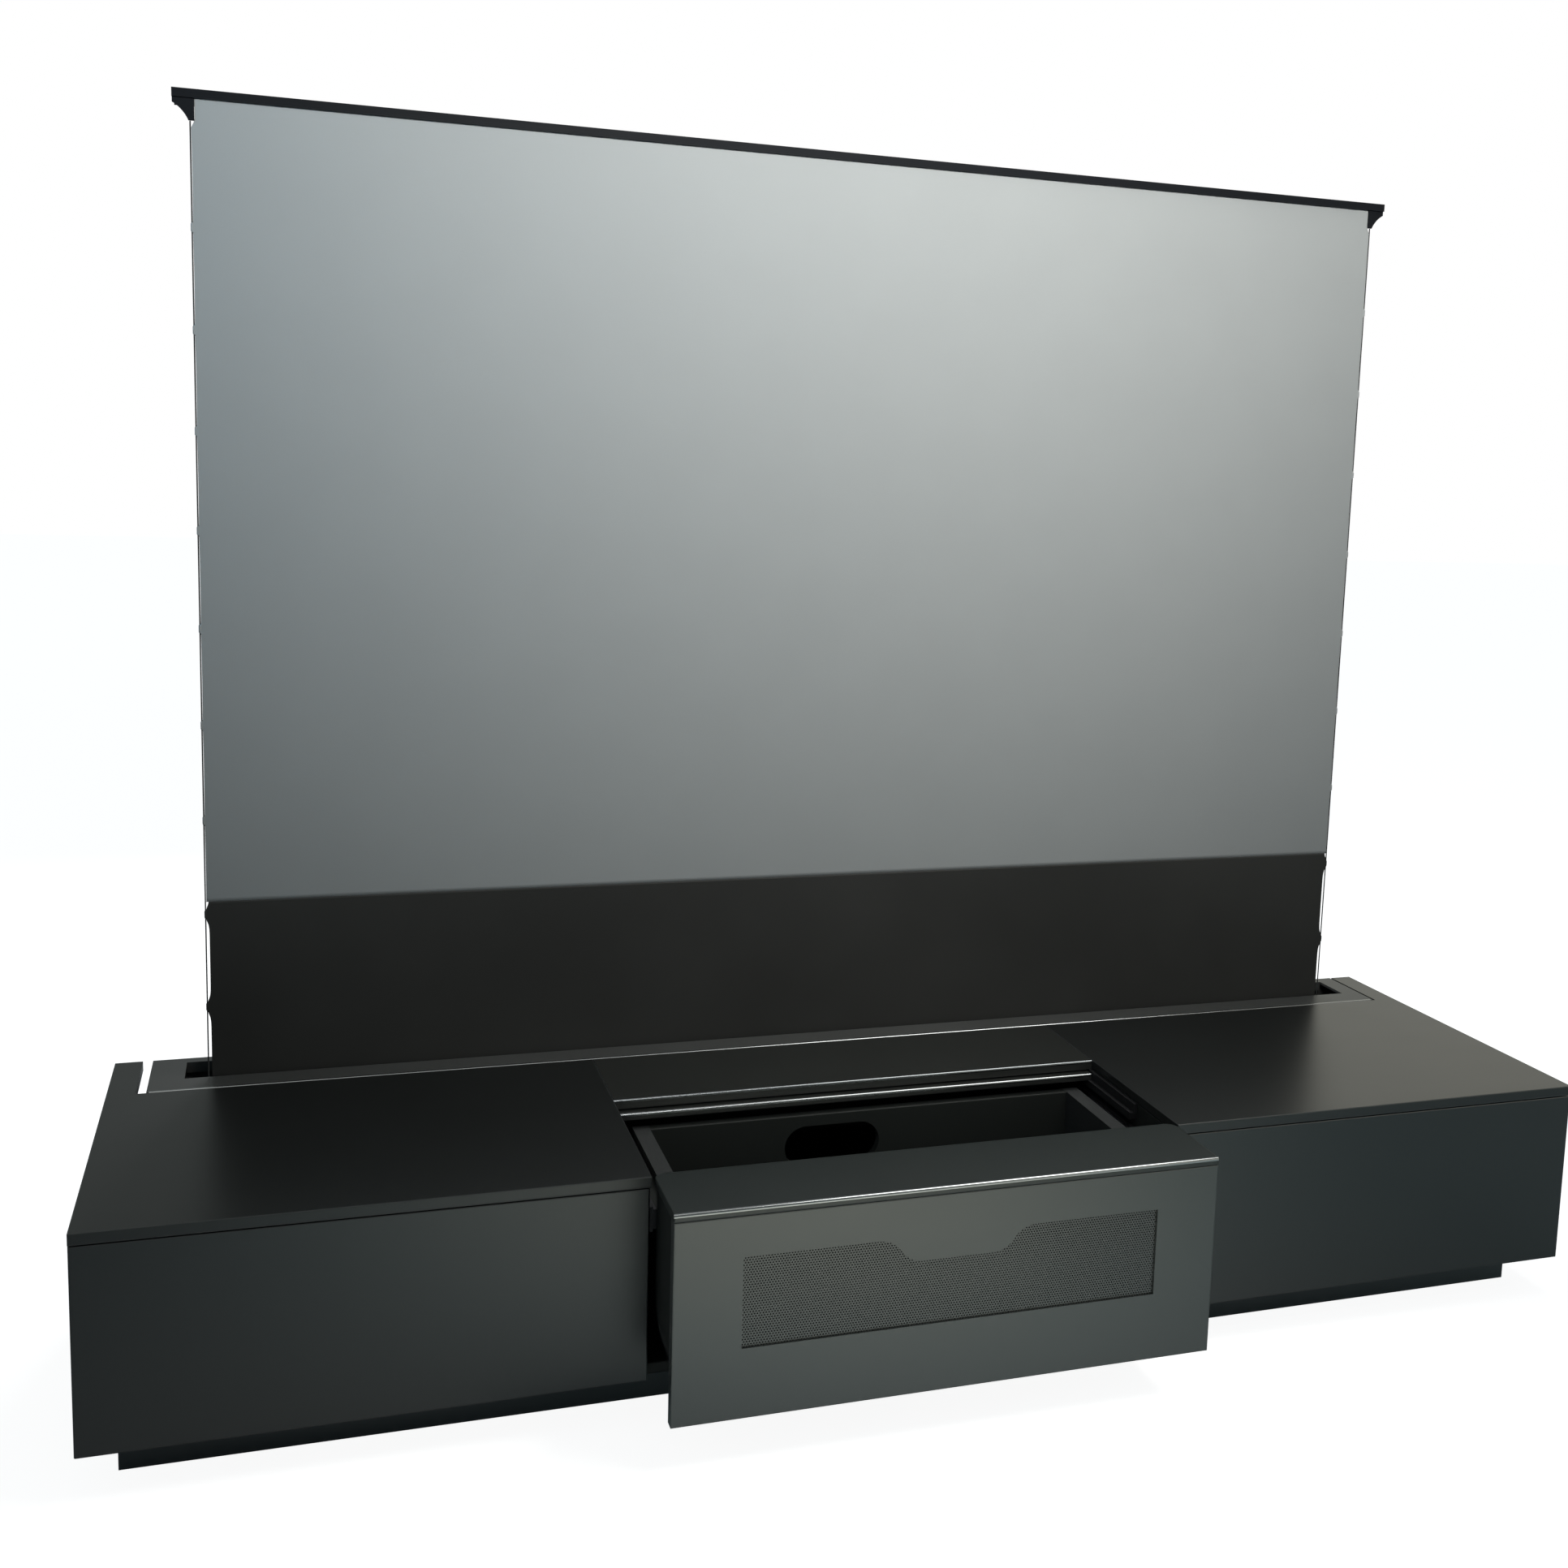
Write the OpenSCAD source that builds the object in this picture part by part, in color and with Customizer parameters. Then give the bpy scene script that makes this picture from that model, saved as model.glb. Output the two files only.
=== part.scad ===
// Low media cabinet: a projector drawer in its centre bay, a drawer in each side unit, and a screen
// that two folding arms raise out of a housing along the back.
// X is the width, Y runs to the back and Z is up. The origin is on the floor under the middle of the
// bounding box, with the projector drawer out and the screen raised.
// Module arguments called x, y and z are [low, high] spans; y counts from the face of the side fronts.

/* [Cabinet] */
// Overall width
cab_w = 2532; // [2510:1:2700]
// Depth from the side fronts to the back
cab_d = 725; // [720:1:800]
// Height of the top boards above the floor
cab_h = 407; // [400:1:450]
// Clear width of the centre bay
bay_w = 902; // [880:1:960]
// Thickness of the top boards
top_t = 17; // [14:1:20]
// Thickness of the carcass panels
panel_t = 18; // [15:1:22]
// Thickness of the back panels
back_t = 8; // [5:1:12]
// Height of the plinth
plinth_h = 75; // [60:1:80]
// How far the plinth stands back from the fronts
plinth_front_in = 86; // [60:1:110]
// How far the plinth stands in from each side
plinth_side_in = 49; // [30:1:70]
// How far the plinth stands in from the back
plinth_back_in = 30; // [10:1:60]
// Diameter of the cable hole in each side unit's back panel
cable_hole_d = 60; // [40:1:80]

/* [Fronts] */
// Thickness of the drawer fronts
front_t = 19; // [16:1:22]
// Shadow gap between a front and the top board, and at a front's edges
front_gap = 2; // [1:0.5:4]
// Gap between the back of a front and the carcass
bumper_gap = 1.5; // [1:0.5:3]
// Joint line between boards that butt together
joint_line = 0.2; // [0.1:0.1:0.4]
// Clearance between pieces that slide or turn on each other
slide_gap = 0.3; // [0.2:0.1:0.4]
// Radius of a side front's upright edges
front_edge_r = 3; // [1:0.5:6]
// Radius of the sharper edges
edge_r = 0.5; // [0.3:0.1:1]
// Side of the square bright edge strips
trim_s = 5; // [4:0.5:6]
// Radius of an edge strip's outer corner
trim_r = 3.5; // [2:0.5:4]

/* [Projector drawer] */
// How far the drawer is out
drawer_out = 146; // [100:1:150]
// Gap between the drawer's front and the side units
drawer_side_gap = 4; // [3:0.5:6]
// Depth of the cap over the drawer's front
cap_d = 157; // [140:1:170]
// Thickness of the cap
cap_t = 12; // [10:0.5:14]
// Joint between the cap and the drawer's front
cap_joint = 1; // [0.5:0.1:1.5]
// Radius of the cap's back corners
cap_corner_r = 20; // [5:1:40]
// Thickness of the cheeks that carry the cap
cheek_t = 24; // [18:1:24]
// Depth of the cheeks behind the front
cheek_d = 125; // [100:1:130]
// Height of the cheeks' lower edge
cheek_z = 168; // [140:1:200]
// Radius of the cheeks' lower back corner
cheek_r = 60; // [20:1:90]
// Room between the drawer box and the bay's wall
box_room = 32; // [32:0.5:40]
// Thickness of the drawer box sides
box_side_t = 28; // [18:1:30]
// Space between the closed drawer's box and the screen housing
box_clear = 78; // [60:1:110]
// Height of the drawer box's lower edge
box_z = 97; // [96:1:110]
// Height of the drawer box's upper edge
box_top = 358; // [350:1:360]
// Height of the projector shelf's underside over the box's lower edge
shelf_in = 3; // [0:0.5:10]
// Thickness of the projector shelf
shelf_t = 12; // [9:1:18]
// Width of the cable cut-out in the drawer's back
cut_w = 175; // [120:1:200]
// Height of the cable cut-outs
cut_h = 75; // [50:1:80]
// Sideways place of the drawer's cable cut-out
cut_x = -63; // [-100:1:0]
// Sideways place of the cable cut-out in the centre's back
back_cut_x = -250; // [-300:1:-200]
// Height of the middle of the drawer's cable cut-out
cut_z = 300; // [290:1:310]

/* [Grille] */
// Width of the grille
grille_w = 683; // [600:1:720]
// Height of the grille's lower edge
grille_z = 186.5; // [170:0.5:200]
// Height of the grille
grille_h = 143.5; // [130:0.5:150]
// Half width of the flat stretch of the dip in its upper edge
dip_flat = 57; // [30:1:80]
// Width of the curve at each side of the dip
dip_run = 72; // [50:1:90]
// Depth of the dip
dip_h = 39; // [20:1:45]
// Thickness of the front left in front of the grille
grille_lip = 4; // [2:0.5:6]
// Rim of the grille plate behind the lip
grille_rim = 12; // [8:1:20]
// Play of the grille plate in its rebate
grille_play = 0.5; // [0.3:0.1:1]
// Thickness of the grille plate
grille_t = 1.5; // [1:0.5:3]
// Distance between neighbouring holes in a row
hole_pitch = 19; // [14:1:30]
// Diameter of the grille's holes
hole_d = 12; // [4:0.5:13]

/* [Centre top and lid] */
// Depth of the fixed strip
strip_d = 217.7; // [210:0.1:230]
// Joint between the fixed strip and the side tops
strip_joint = 0.5; // [0.3:0.1:1]
// How far the lid's front edge shows in front of the strip
lid_show = 16; // [8:1:20]
// Depth of the lid
lid_d = 215; // [210:1:220]
// Thickness of the lid
lid_t = 12; // [10:1:14]
// Gap over the lid
lid_gap = 3; // [2:0.5:4]
// Gap between the lid and the bay's wall
lid_side_gap = 8; // [6:0.5:10]
// Width of the ledge that the lid slides on
guide_w = 14; // [12:0.5:15]
// Height of that ledge
guide_h = 12; // [8:1:14]
// Space between the ledge's front end and the closed drawer's cheek
guide_clear = 6; // [4:1:20]

/* [Runners] */
// Height of the drawer runners
rail_h = 45; // [40:1:46]
// Total thickness of a runner, both members
rail_t = 13; // [12:0.5:14]
// Space between the fixed member and the drawer
rail_space = 3; // [2:0.5:4]
// Sheet thickness of the fixed member
rail_wall = 2; // [1.5:0.1:2.5]
// Play between a runner's members
rail_play = 0.5; // [0.3:0.1:0.8]
// Distance of the projector drawer's runners behind the side fronts' face, past the drawer's travel
rail_front_in = 24; // [20:1:40]
// Distance of those runners from the back of the drawer's box
rail_back_in = 11; // [5:1:30]
// Height of the projector drawer's runners
centre_rail_z = 305; // [290:1:310]
// Height of the side drawers' runners above the unit's bottom board
side_rail_rise = 60; // [30:1:100]

/* [Side drawers] */
// Thickness of the side drawers' box boards
board_t = 15; // [12:1:18]
// Space between the side drawers' boxes and the screen housing
side_box_clear = 40; // [30:1:80]
// Height of the side drawers' boxes
side_box_h = 220; // [180:1:240]
// Space under a side drawer's box
side_box_lift = 10; // [6:1:20]
// Height of a side drawer's bottom over its sides' lower edge
side_base_in = 8; // [5:1:15]
// Thickness of a side drawer's bottom
side_base_t = 9; // [6:1:12]

/* [Screen housing] */
// Width of the top board left beside the notch that the housing stands in
notch_end = 45.5; // [40:0.5:60]
// Gap at each end of the housing, if it stood in the middle of the notch
housing_end_gap = 10.5; // [8.5:0.5:14]
// Depth of the housing
housing_d = 166; // [164:1:172]
// Height of the housing
housing_h = 175; // [170:1:185]
// Sheet thickness of the housing
sheet_t = 3; // [2:0.5:3]
// Thickness of the housing's end caps
end_t = 4; // [3:0.5:6]
// Diameter of the power cable's gland where it passes the housing's back wall
gland_d = 14; // [12:1:18]
// Bore of that gland
cable_d = 7; // [5:0.5:9]
// How far the housing's back wall stands in, which leaves room for the gland's flange
back_in = 6; // [5:0.5:8]
// Distance of that gland from the housing's left end
gland_in = 41; // [30:1:60]
// Height of that gland over the housing's floor
gland_rise = 40; // [30:1:100]
// Height of the control box
control_h = 48; // [30:1:60]
// Free space round the control box
control_clear = 6; // [4:1:10]
// Gap in front of the housing
notch_gap = 2.8; // [1:0.1:4]
// Sideways place of the screen and its housing from the cabinet's middle
screen_x = 6; // [0:1:8]
// Depth of the housing's front top strip, with its edge strip
front_strip_d = 57; // [55:1:58]
// Depth of the housing's back top strip
back_strip_d = 23; // [20:1:25]
// Height of the lips that the top strips turn down beside the slot
strip_lip = 14; // [8:1:16]
// Space between the top bar and the slot's left end
slot_gap_left = 12; // [8:1:14]
// Space between the top bar and the slot's right end
slot_gap_right = 30; // [10:1:34]

/* [Screen] */
// Distance from the top bar's end to the fabric's edge
fabric_end = 34; // [30:1:50]
// Height of the grey picture field as a share of its width
picture_share = 0.6012; // [0.55:0.0001:0.605]
// Height of the black drop that shows above the tops
drop_h = 309; // [280:1:320]
// Thickness of the fabric
fabric_t = 0.6; // [0.4:0.1:1]
// Distance of the fabric behind the top bar's front face
fabric_in = 6; // [5:0.5:8]
// Distance from the housing's end to the top bar's end
bar_end = 69; // [60:1:90]
// Height of the top bar
bar_h = 14; // [12:1:18]
// Wall of the top bar
bar_wall = 3; // [2:0.5:4]
// Space between the top bar and the slot, front and back
bar_side_gap = 3; // [2:0.5:4]
// How far the top bar's gussets reach down
gusset_h = 35; // [25:1:40]
// How far a gusset's outer end reaches below the bar
gusset_lip = 8; // [4:1:12]
// How far a gusset's lower edge curves in
gusset_dip = 3; // [1:0.5:5]
// Thickness of the gussets
gusset_t = 3; // [2:0.5:3]
// Distance between the edge tabs
tab_pitch = 164.3; // [150:0.1:180]
// Distance of the first edge tab below the top bar
tab_first = 203; // [180:1:230]
// Height of an edge tab's outer side
tab_h = 15; // [12:1:24]
// How far a tab's foot widens up and down along the fabric
tab_flare = 11; // [6:1:14]
// How far an edge tab stands out
tab_w = 9; // [7:0.5:10]
// Radius of a tab's outer corners
tab_r = 2.5; // [1:0.5:3]
// Thickness of the tension cord
cord_t = 2.4; // [2:0.1:3]
// Clearance of the cord in a tab's tunnel
cord_play = 0.3; // [0.2:0.1:0.5]
// Wall of a tab round its tunnel
tab_rim = 0.9; // [0.7:0.1:1.5]

/* [Roller] */
// Diameter of the roller tube
tube_d = 50; // [48:0.5:52]
// Wall of the roller tube
tube_wall = 1.5; // [1:0.5:2]
// Height of the roller's axis above the housing's floor
roller_rise = 68; // [60:1:75]
// Gap between the roller tube and the fabric that leaves it
fabric_gap = 0.3; // [0.2:0.1:0.5]
// How far the tube reaches past the fabric at each end
tube_over = 15; // [8:1:16]
// Diameter of the motor in the tube
motor_d = 44; // [40:0.5:44]
// Length of the motor
motor_len = 560; // [400:1:700]
// Diameter of the roller's end pin and of the motor's shaft
pin_d = 12; // [8:0.5:14]
// Thickness of the roller brackets
bracket_t = 5; // [4:0.5:8]
// Space between the roller tube and the brackets
bracket_gap = 4; // [3:0.5:6]
// Length of a roller bracket's foot
bracket_foot = 30; // [20:1:35]
// Side of the motor's head
motor_head = 30; // [24:1:32]
// Length of the drive crown and of the idler plug
plug_len = 20; // [15:1:30]

/* [Lift] */
// Angle of the lower arms with the screen raised
raised_deg = 78; // [74:1:80]
// Angle of the lower arms with the screen down
folded_deg = 1; // [1:0.5:2]
// Distance of the pivots from the fabric's edge
pivot_in = 147; // [120:1:160]
// Depth of the upper pivots below the top bar's upper face
pivot_drop = 45; // [44:1:50]
// Width of an arm
arm_w = 40; // [34:1:40]
// Thickness of an arm
arm_t = 12; // [10:1:12]
// Space between the lower and the upper arms
arm_gap = 3; // [3:0.5:4]
// Thickness of the washers beside the arms
washer_t = 1; // [1:0.1:1.5]
// Length of a pivot bracket's foot
foot_d = 30; // [24:1:34]
// Thickness of that foot
foot_t = 6; // [5:0.5:8]
// Diameter of the arm pins
arm_pin_d = 16; // [12:1:18]
// Play of a pin in its bore, on the radius
pin_play = 0.05; // [0.03:0.01:0.08]
// Play of the right upper arm on its upper pin, on the radius, which takes up the arms' tolerances
open_play = 0.3; // [0.1:0.1:0.5]
// Thickness of the lower pivots' plates
base_plate_t = 12; // [8:1:12]
// Space between the fabric and the lower pivots' plates
base_plate_gap = 20; // [15:1:20]
// Width of the pivot plates
pivot_plate_w = 60; // [50:1:80]

/* [Hidden] */
$fn = 64;
eps = 0.01;
curve_steps = 12;
front_y = -(cab_d - drawer_out) / 2;
wall = cab_w / 2;
bay = bay_w / 2;
top_z = cab_h - top_t;
floor_z = plinth_h + panel_t;
carcass_y = front_t + bumper_gap;
front_z = [plinth_h, top_z - front_gap];

notch_x = wall - notch_end;
housing_len = 2 * (notch_x - housing_end_gap);
housing_x = [screen_x - housing_len / 2, screen_x + housing_len / 2];
housing_y = [cab_d - housing_d, cab_d];
housing_z = [cab_h - housing_h, cab_h];
case_x = [housing_x[0] + end_t, housing_x[1] - end_t];
case_z = housing_z[0] + sheet_t;
case_back = housing_y[1] - back_in;
notch_y = housing_y[0] - notch_gap;
strip_y = notch_y - strip_d;
strip_z = cab_h - trim_s;
slot_y = [housing_y[0] + front_strip_d, housing_y[1] - back_strip_d];
bar_len = housing_len - 2 * bar_end;
fabric_x = bar_len / 2 - fabric_end;
pivot_x = fabric_x - pivot_in;
picture_h = round(2 * fabric_x * picture_share);
picture_z = cab_h + drop_h;
raised_z = picture_z + picture_h + bar_h;
bar_x = [screen_x - bar_len / 2, screen_x + bar_len / 2];
slot_x = [bar_x[0] - slot_gap_left, bar_x[1] + slot_gap_right];
bar_y = [slot_y[0] + bar_side_gap, slot_y[1] - bar_side_gap];
bar_z = [raised_z - bar_h, raised_z];

box_x = bay - box_room;
box_in = box_x - box_side_t;
cap_z = cab_h - cap_t;
box_d = housing_y[0] - box_clear - front_t;
rail_y = [drawer_out + rail_front_in, front_t + box_d - rail_back_in];
rail_channel = rail_t - rail_space;
packer_t = box_room - rail_t;

lid_z = [top_z - lid_gap - lid_t, top_z - lid_gap];
lid_y = [strip_y - lid_show, strip_y - lid_show + lid_d];
ledge_z = lid_z[0] - slide_gap;
guide_y = front_t + cheek_d + guide_clear;

unit_x = [bay + panel_t, wall - panel_t];
side_box_x = [unit_x[0] + rail_t, unit_x[1] - rail_t];
side_box_z = floor_z + side_box_lift;
side_rail_z = floor_z + side_rail_rise;
side_rail_y = [carcass_y, housing_y[0] - side_box_clear + bumper_gap];
side_front_x = [bay + front_gap, wall];

roller_z = housing_z[0] + roller_rise;
fabric_y = bar_y[0] + fabric_in;
roller_y = fabric_y - fabric_gap - tube_d / 2;
clamp_y = fabric_y + fabric_t + slide_gap;
tube_x = fabric_x + tube_over;

travel = raised_z - cab_h;
arm_len = travel / (2 * (sin(raised_deg) - sin(folded_deg)));
top_pivot_z = raised_z - pivot_drop;
base_pivot_z = top_pivot_z - 2 * arm_len * sin(raised_deg);
elbow_z = base_pivot_z + arm_len * sin(raised_deg);
elbow_x = pivot_x - arm_len * cos(raised_deg);
base_plate_y = [fabric_y + base_plate_gap, fabric_y + base_plate_gap + base_plate_t];
lower_y = [base_plate_y[1] + washer_t, base_plate_y[1] + washer_t + arm_t];
upper_y = [lower_y[1] + arm_gap, lower_y[1] + arm_gap + arm_t];
top_plate_y = [upper_y[1] + 1.5 * washer_t, bar_y[1] - bar_wall];

cabinet_c = [0.14, 0.15, 0.145];
top_c = [0.20, 0.21, 0.205];
front_c = [0.30, 0.33, 0.31];
bright_c = [0.88, 0.89, 0.90];
steel_c = [0.62, 0.64, 0.66];
dark_c = [0.08, 0.08, 0.08];
box_c = [0.55, 0.57, 0.56];
screen_c = [0.50, 0.54, 0.53];

// A box between spans
module span(x, y, z) {
    translate([x[0], front_y + y[0], z[0]])
        cube([x[1] - x[0], y[1] - y[0], z[1] - z[0]]);
}

// A profile drawn in y and z, extruded along x
module along_x(x) {
    translate([x[0], front_y, 0])
        rotate([90, 0, 90])
            linear_extrude(x[1] - x[0])
                children();
}

// A profile drawn in x and z, extruded along y
module along_y(y) {
    translate([0, front_y + y[1], 0])
        rotate([90, 0, 0])
            linear_extrude(y[1] - y[0])
                children();
}

// A profile drawn in x and y, extruded along z
module along_z(z) {
    translate([0, front_y, z[0]])
        linear_extrude(z[1] - z[0])
            children();
}

// A cylinder along y about the axis at x and z
module round_y(x, z, d, y) {
    translate([x, front_y + y[1], z])
        rotate([90, 0, 0])
            cylinder(h = y[1] - y[0], d = d);
}

// A cylinder along x about the axis at y and z
module round_x(y, z, d, x) {
    translate([x[0], front_y + y, z])
        rotate([0, 90, 0])
            cylinder(h = x[1] - x[0], d = d);
}

module both_sides() {
    children();
    mirror([1, 0, 0])
        children();
}

// Both sides of the screen, whose middle is a little off the cabinet's
module both_ends() {
    translate([screen_x, 0, 0])
        both_sides()
            children();
}

module pulled_out() {
    translate([0, -drawer_out, 0])
        children();
}

// A rectangle with the corners on its low-y side rounded
module front_plan(x, y, r) {
    translate([x[0], y[0] + r])
        square([x[1] - x[0], y[1] - y[0] - r]);
    translate([x[0] + r, y[0]])
        square([x[1] - x[0] - 2 * r, r]);
    for (cx = [x[0] + r, x[1] - r])
        translate([cx, y[0] + r])
            circle(r);
}

// A slot with round ends, lying along its first axis
module oblong(length, height) {
    square([length - height, height], center = true);
    for (side = [-1, 1])
        translate([side * (length - height) / 2, 0])
            circle(d = height);
}

// The section of a bright edge strip, drawn in y and z from the edge that it covers
module trim_section() {
    translate([trim_r, -trim_s])
        square([trim_s - trim_r, trim_s]);
    translate([0, -trim_s])
        square([trim_s, trim_s - trim_r]);
    intersection() {
        translate([trim_r, -trim_r])
            circle(trim_r);
        translate([0, -trim_s])
            square(trim_s);
    }
}

// The section of a board whose upper front edge is cut back for an edge strip
module rebated_section(y, z) {
    difference() {
        translate([y[0], z[0]])
            square([y[1] - y[0], z[1] - z[0]]);
        translate([y[0] - eps, z[1] - trim_s])
            square([trim_s + eps, trim_s + eps]);
    }
}

module edge_trim(x, y, z) {
    color(bright_c)
        along_x(x)
            translate([y, z])
                trim_section();
}

// Fixed runner member: a channel whose back lies on the wall at x = 0 and whose mouth faces -x
module fixed_rail_section() {
    difference() {
        translate([-rail_channel, 0])
            square([rail_channel, rail_h]);
        translate([-rail_channel + rail_wall, rail_wall])
            square([rail_channel - 2 * rail_wall, rail_h - 2 * rail_wall]);
        translate([-rail_channel - eps, 3 * rail_wall])
            square([rail_wall + 2 * eps, rail_h - 6 * rail_wall]);
    }
}

// Moving runner member: a head held in the channel, on a neck that reaches the drawer at x = -rail_t
module moving_rail_section() {
    head = rail_wall + rail_play;
    neck = 3 * rail_wall + rail_play;
    translate([-rail_channel + head, head])
        square([rail_channel - 2 * head, rail_h - 2 * head]);
    translate([-rail_t, neck])
        square([rail_space + head + eps, rail_h - 2 * neck]);
}

// A runner member beside the wall at x, with the profile facing the middle of the cabinet
module rail_at(x, y, z) {
    along_y(y)
        translate([x, z])
            children();
}

// A runner member beside the wall at x, with the profile facing outwards
module rail_facing_out(x, y, z) {
    along_y(y)
        translate([x, z])
            mirror([1, 0])
                children();
}

// The curve of the dip: height above the dip's flat at a distance u along the curve's run
dip_half = atan(dip_h / dip_run);
dip_r = dip_run / (2 * sin(2 * dip_half));
function dip_rise(u) =
    u < dip_run / 2
        ? dip_r - sqrt(pow(dip_r, 2) - pow(u, 2))
        : dip_h - dip_r + sqrt(pow(dip_r, 2) - pow(dip_run - u, 2));

// Height of the grille's upper edge at x
function grille_top(x) =
    let(u = abs(x) - dip_flat, low = grille_z + grille_h - dip_h)
    u <= 0 ? low : u >= dip_run ? low + dip_h : low + dip_rise(u);

dip_steps = 16;
dip_xs = [for (i = [0:dip_steps]) dip_flat + dip_run * i / dip_steps];

module grille_outline() {
    right = [for (x = dip_xs) [x, grille_top(x)]];
    left = [for (i = [dip_steps:-1:0]) [-dip_xs[i], grille_top(dip_xs[i])]];
    polygon(concat(
        [[-grille_w / 2, grille_z + grille_h], [-grille_w / 2, grille_z]],
        [[grille_w / 2, grille_z], [grille_w / 2, grille_z + grille_h]],
        [for (i = [dip_steps:-1:0]) right[i]],
        [for (i = [dip_steps:-1:0]) left[i]]));
}

// Plinth and carcass

module plinth_frame() {
    x = wall - plinth_side_in;
    y = [plinth_front_in, cab_d - plinth_back_in];
    color(cabinet_c) {
        span([-x, x], [y[0], y[0] + panel_t], [0, plinth_h]);
        span([-x, x], [y[1] - panel_t, y[1]], [0, plinth_h]);
        both_sides()
            for (board_x = [x - panel_t, bay])
                span([board_x, board_x + panel_t], [y[0] + panel_t + joint_line, y[1] - panel_t - joint_line],
                    [0, plinth_h]);
    }
}

module outer_sides() {
    color(cabinet_c)
        both_sides()
            span([wall - panel_t, wall], [carcass_y, cab_d], [plinth_h, top_z]);
}

// The housing stands in the notch at the back of these panels
module inner_sides() {
    color(cabinet_c)
        both_sides()
            along_x([bay, bay + panel_t])
                polygon([[carcass_y, plinth_h], [cab_d, plinth_h], [cab_d, housing_z[0]],
                    [notch_y, housing_z[0]], [notch_y, top_z], [carcass_y, top_z]]);
}

module side_bottom_boards() {
    color(cabinet_c)
        both_sides()
            span(unit_x, [carcass_y, cab_d - back_t], [plinth_h, floor_z]);
}

module centre_bottom_board() {
    color(cabinet_c)
        span([-bay, bay], [carcass_y, cab_d - back_t], [plinth_h, floor_z]);
}

module side_back_panels() {
    color(cabinet_c)
        both_sides()
            difference() {
                span(unit_x, [cab_d - back_t, cab_d], [plinth_h, housing_z[0]]);
                round_y((unit_x[0] + unit_x[1]) / 2, (floor_z + housing_z[0]) / 2, cable_hole_d,
                    [cab_d - back_t - 1, cab_d + 1]);
            }
}

module centre_back_panel() {
    color(cabinet_c)
        difference() {
            span([-bay, bay], [cab_d - back_t, cab_d], [plinth_h, housing_z[0]]);
            along_y([cab_d - back_t - 1, cab_d + 1])
                translate([back_cut_x, (floor_z + housing_z[0]) / 2])
                    oblong(cut_w, cut_h);
        }
}

module top_board() {
    color(top_c)
        along_z([top_z, cab_h])
            polygon([[bay, 0], [wall, 0], [wall, cab_d], [notch_x, cab_d], [notch_x, notch_y],
                [bay, notch_y]]);
}

module left_top_board() {
    mirror([1, 0, 0])
        top_board();
}

module right_top_board() {
    top_board();
}

module centre_top_strip() {
    color(top_c)
        along_x([strip_joint - bay, bay - strip_joint])
            rebated_section([strip_y, notch_y], [top_z, cab_h]);
}

module strip_edge_trim() {
    edge_trim([strip_joint - bay, bay - strip_joint], strip_y, cab_h);
}

// Each guide carries the centre strip on its flange and the sliding lid on its ledge
module lid_guides() {
    flange = lid_side_gap - bumper_gap;
    color(steel_c)
        both_sides()
            along_y([guide_y, notch_y])
                polygon([[bay, ledge_z - guide_h], [bay, top_z], [bay - flange, top_z],
                    [bay - flange, ledge_z], [bay - guide_w, ledge_z],
                    [bay - guide_w, ledge_z - guide_h]]);
}

module centre_fixed_rails() {
    color(steel_c)
        both_sides()
            rail_at(bay, rail_y, centre_rail_z)
                fixed_rail_section();
}

module side_fixed_rails() {
    color(steel_c)
        both_sides() {
            rail_at(unit_x[1], side_rail_y, side_rail_z)
                fixed_rail_section();
            rail_facing_out(unit_x[0], side_rail_y, side_rail_z)
                fixed_rail_section();
        }
}

// Screen housing

module housing_case() {
    y = [housing_y[0], case_back];
    color(dark_c)
        difference() {
            along_x(case_x)
                difference() {
                    translate([y[0], housing_z[0]])
                        square([y[1] - y[0], strip_z - housing_z[0]]);
                    translate([y[0] + sheet_t, case_z])
                        square([y[1] - y[0] - 2 * sheet_t, housing_h]);
                }
            round_y(gland_x, gland_z, gland_d + 2 * joint_line, [y[1] - sheet_t - 1, y[1] + 1]);
        }
}

// The two plates beyond the slot's ends close the top between the front and back strips
module housing_front_strip() {
    y = [housing_y[0] + trim_s, slot_y[0]];
    color(dark_c) {
        span(case_x, y, [strip_z, cab_h]);
        span(slot_x, [y[1] - sheet_t, y[1]], [strip_z - strip_lip, strip_z]);
        span([case_x[0], slot_x[0]], [y[1], slot_y[1]], [strip_z, cab_h]);
        span([slot_x[1], case_x[1]], [y[1], slot_y[1]], [strip_z, cab_h]);
    }
}

module housing_edge_trim() {
    edge_trim(case_x, housing_y[0], cab_h);
}

module housing_back_strip() {
    color(dark_c) {
        span(case_x, [slot_y[1], housing_y[1]], [strip_z, cab_h]);
        span(slot_x, [slot_y[1], slot_y[1] + sheet_t], [strip_z - strip_lip, strip_z]);
    }
}

module housing_end_caps() {
    color(dark_c)
        both_ends()
            along_x([housing_len / 2 - end_t, housing_len / 2])
                front_plan(housing_y, housing_z, edge_r);
}

bracket_x = [tube_x + bracket_gap, tube_x + bracket_gap + bracket_t];
bracket_half = tube_d / 2 + bracket_t;

// Angle plates that stand on the housing's floor and carry the roller at both ends
module roller_brackets() {
    y = [roller_y - bracket_half, roller_y + bracket_half];
    color(steel_c)
        both_ends()
            difference() {
                union() {
                    span(bracket_x, y, [case_z, roller_z]);
                    round_x(roller_y, roller_z, 2 * bracket_half, bracket_x);
                    span([bracket_x[0], bracket_x[1] + bracket_foot], y, [case_z, case_z + bracket_t]);
                }
                round_x(roller_y, roller_z, pin_d + 2 * pin_play, [bracket_x[0] - 1, bracket_x[1] + 1]);
            }
}

motor_x = [screen_x - bracket_x[0] + washer_t, screen_x - bracket_x[0] + washer_t + motor_len];

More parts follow.
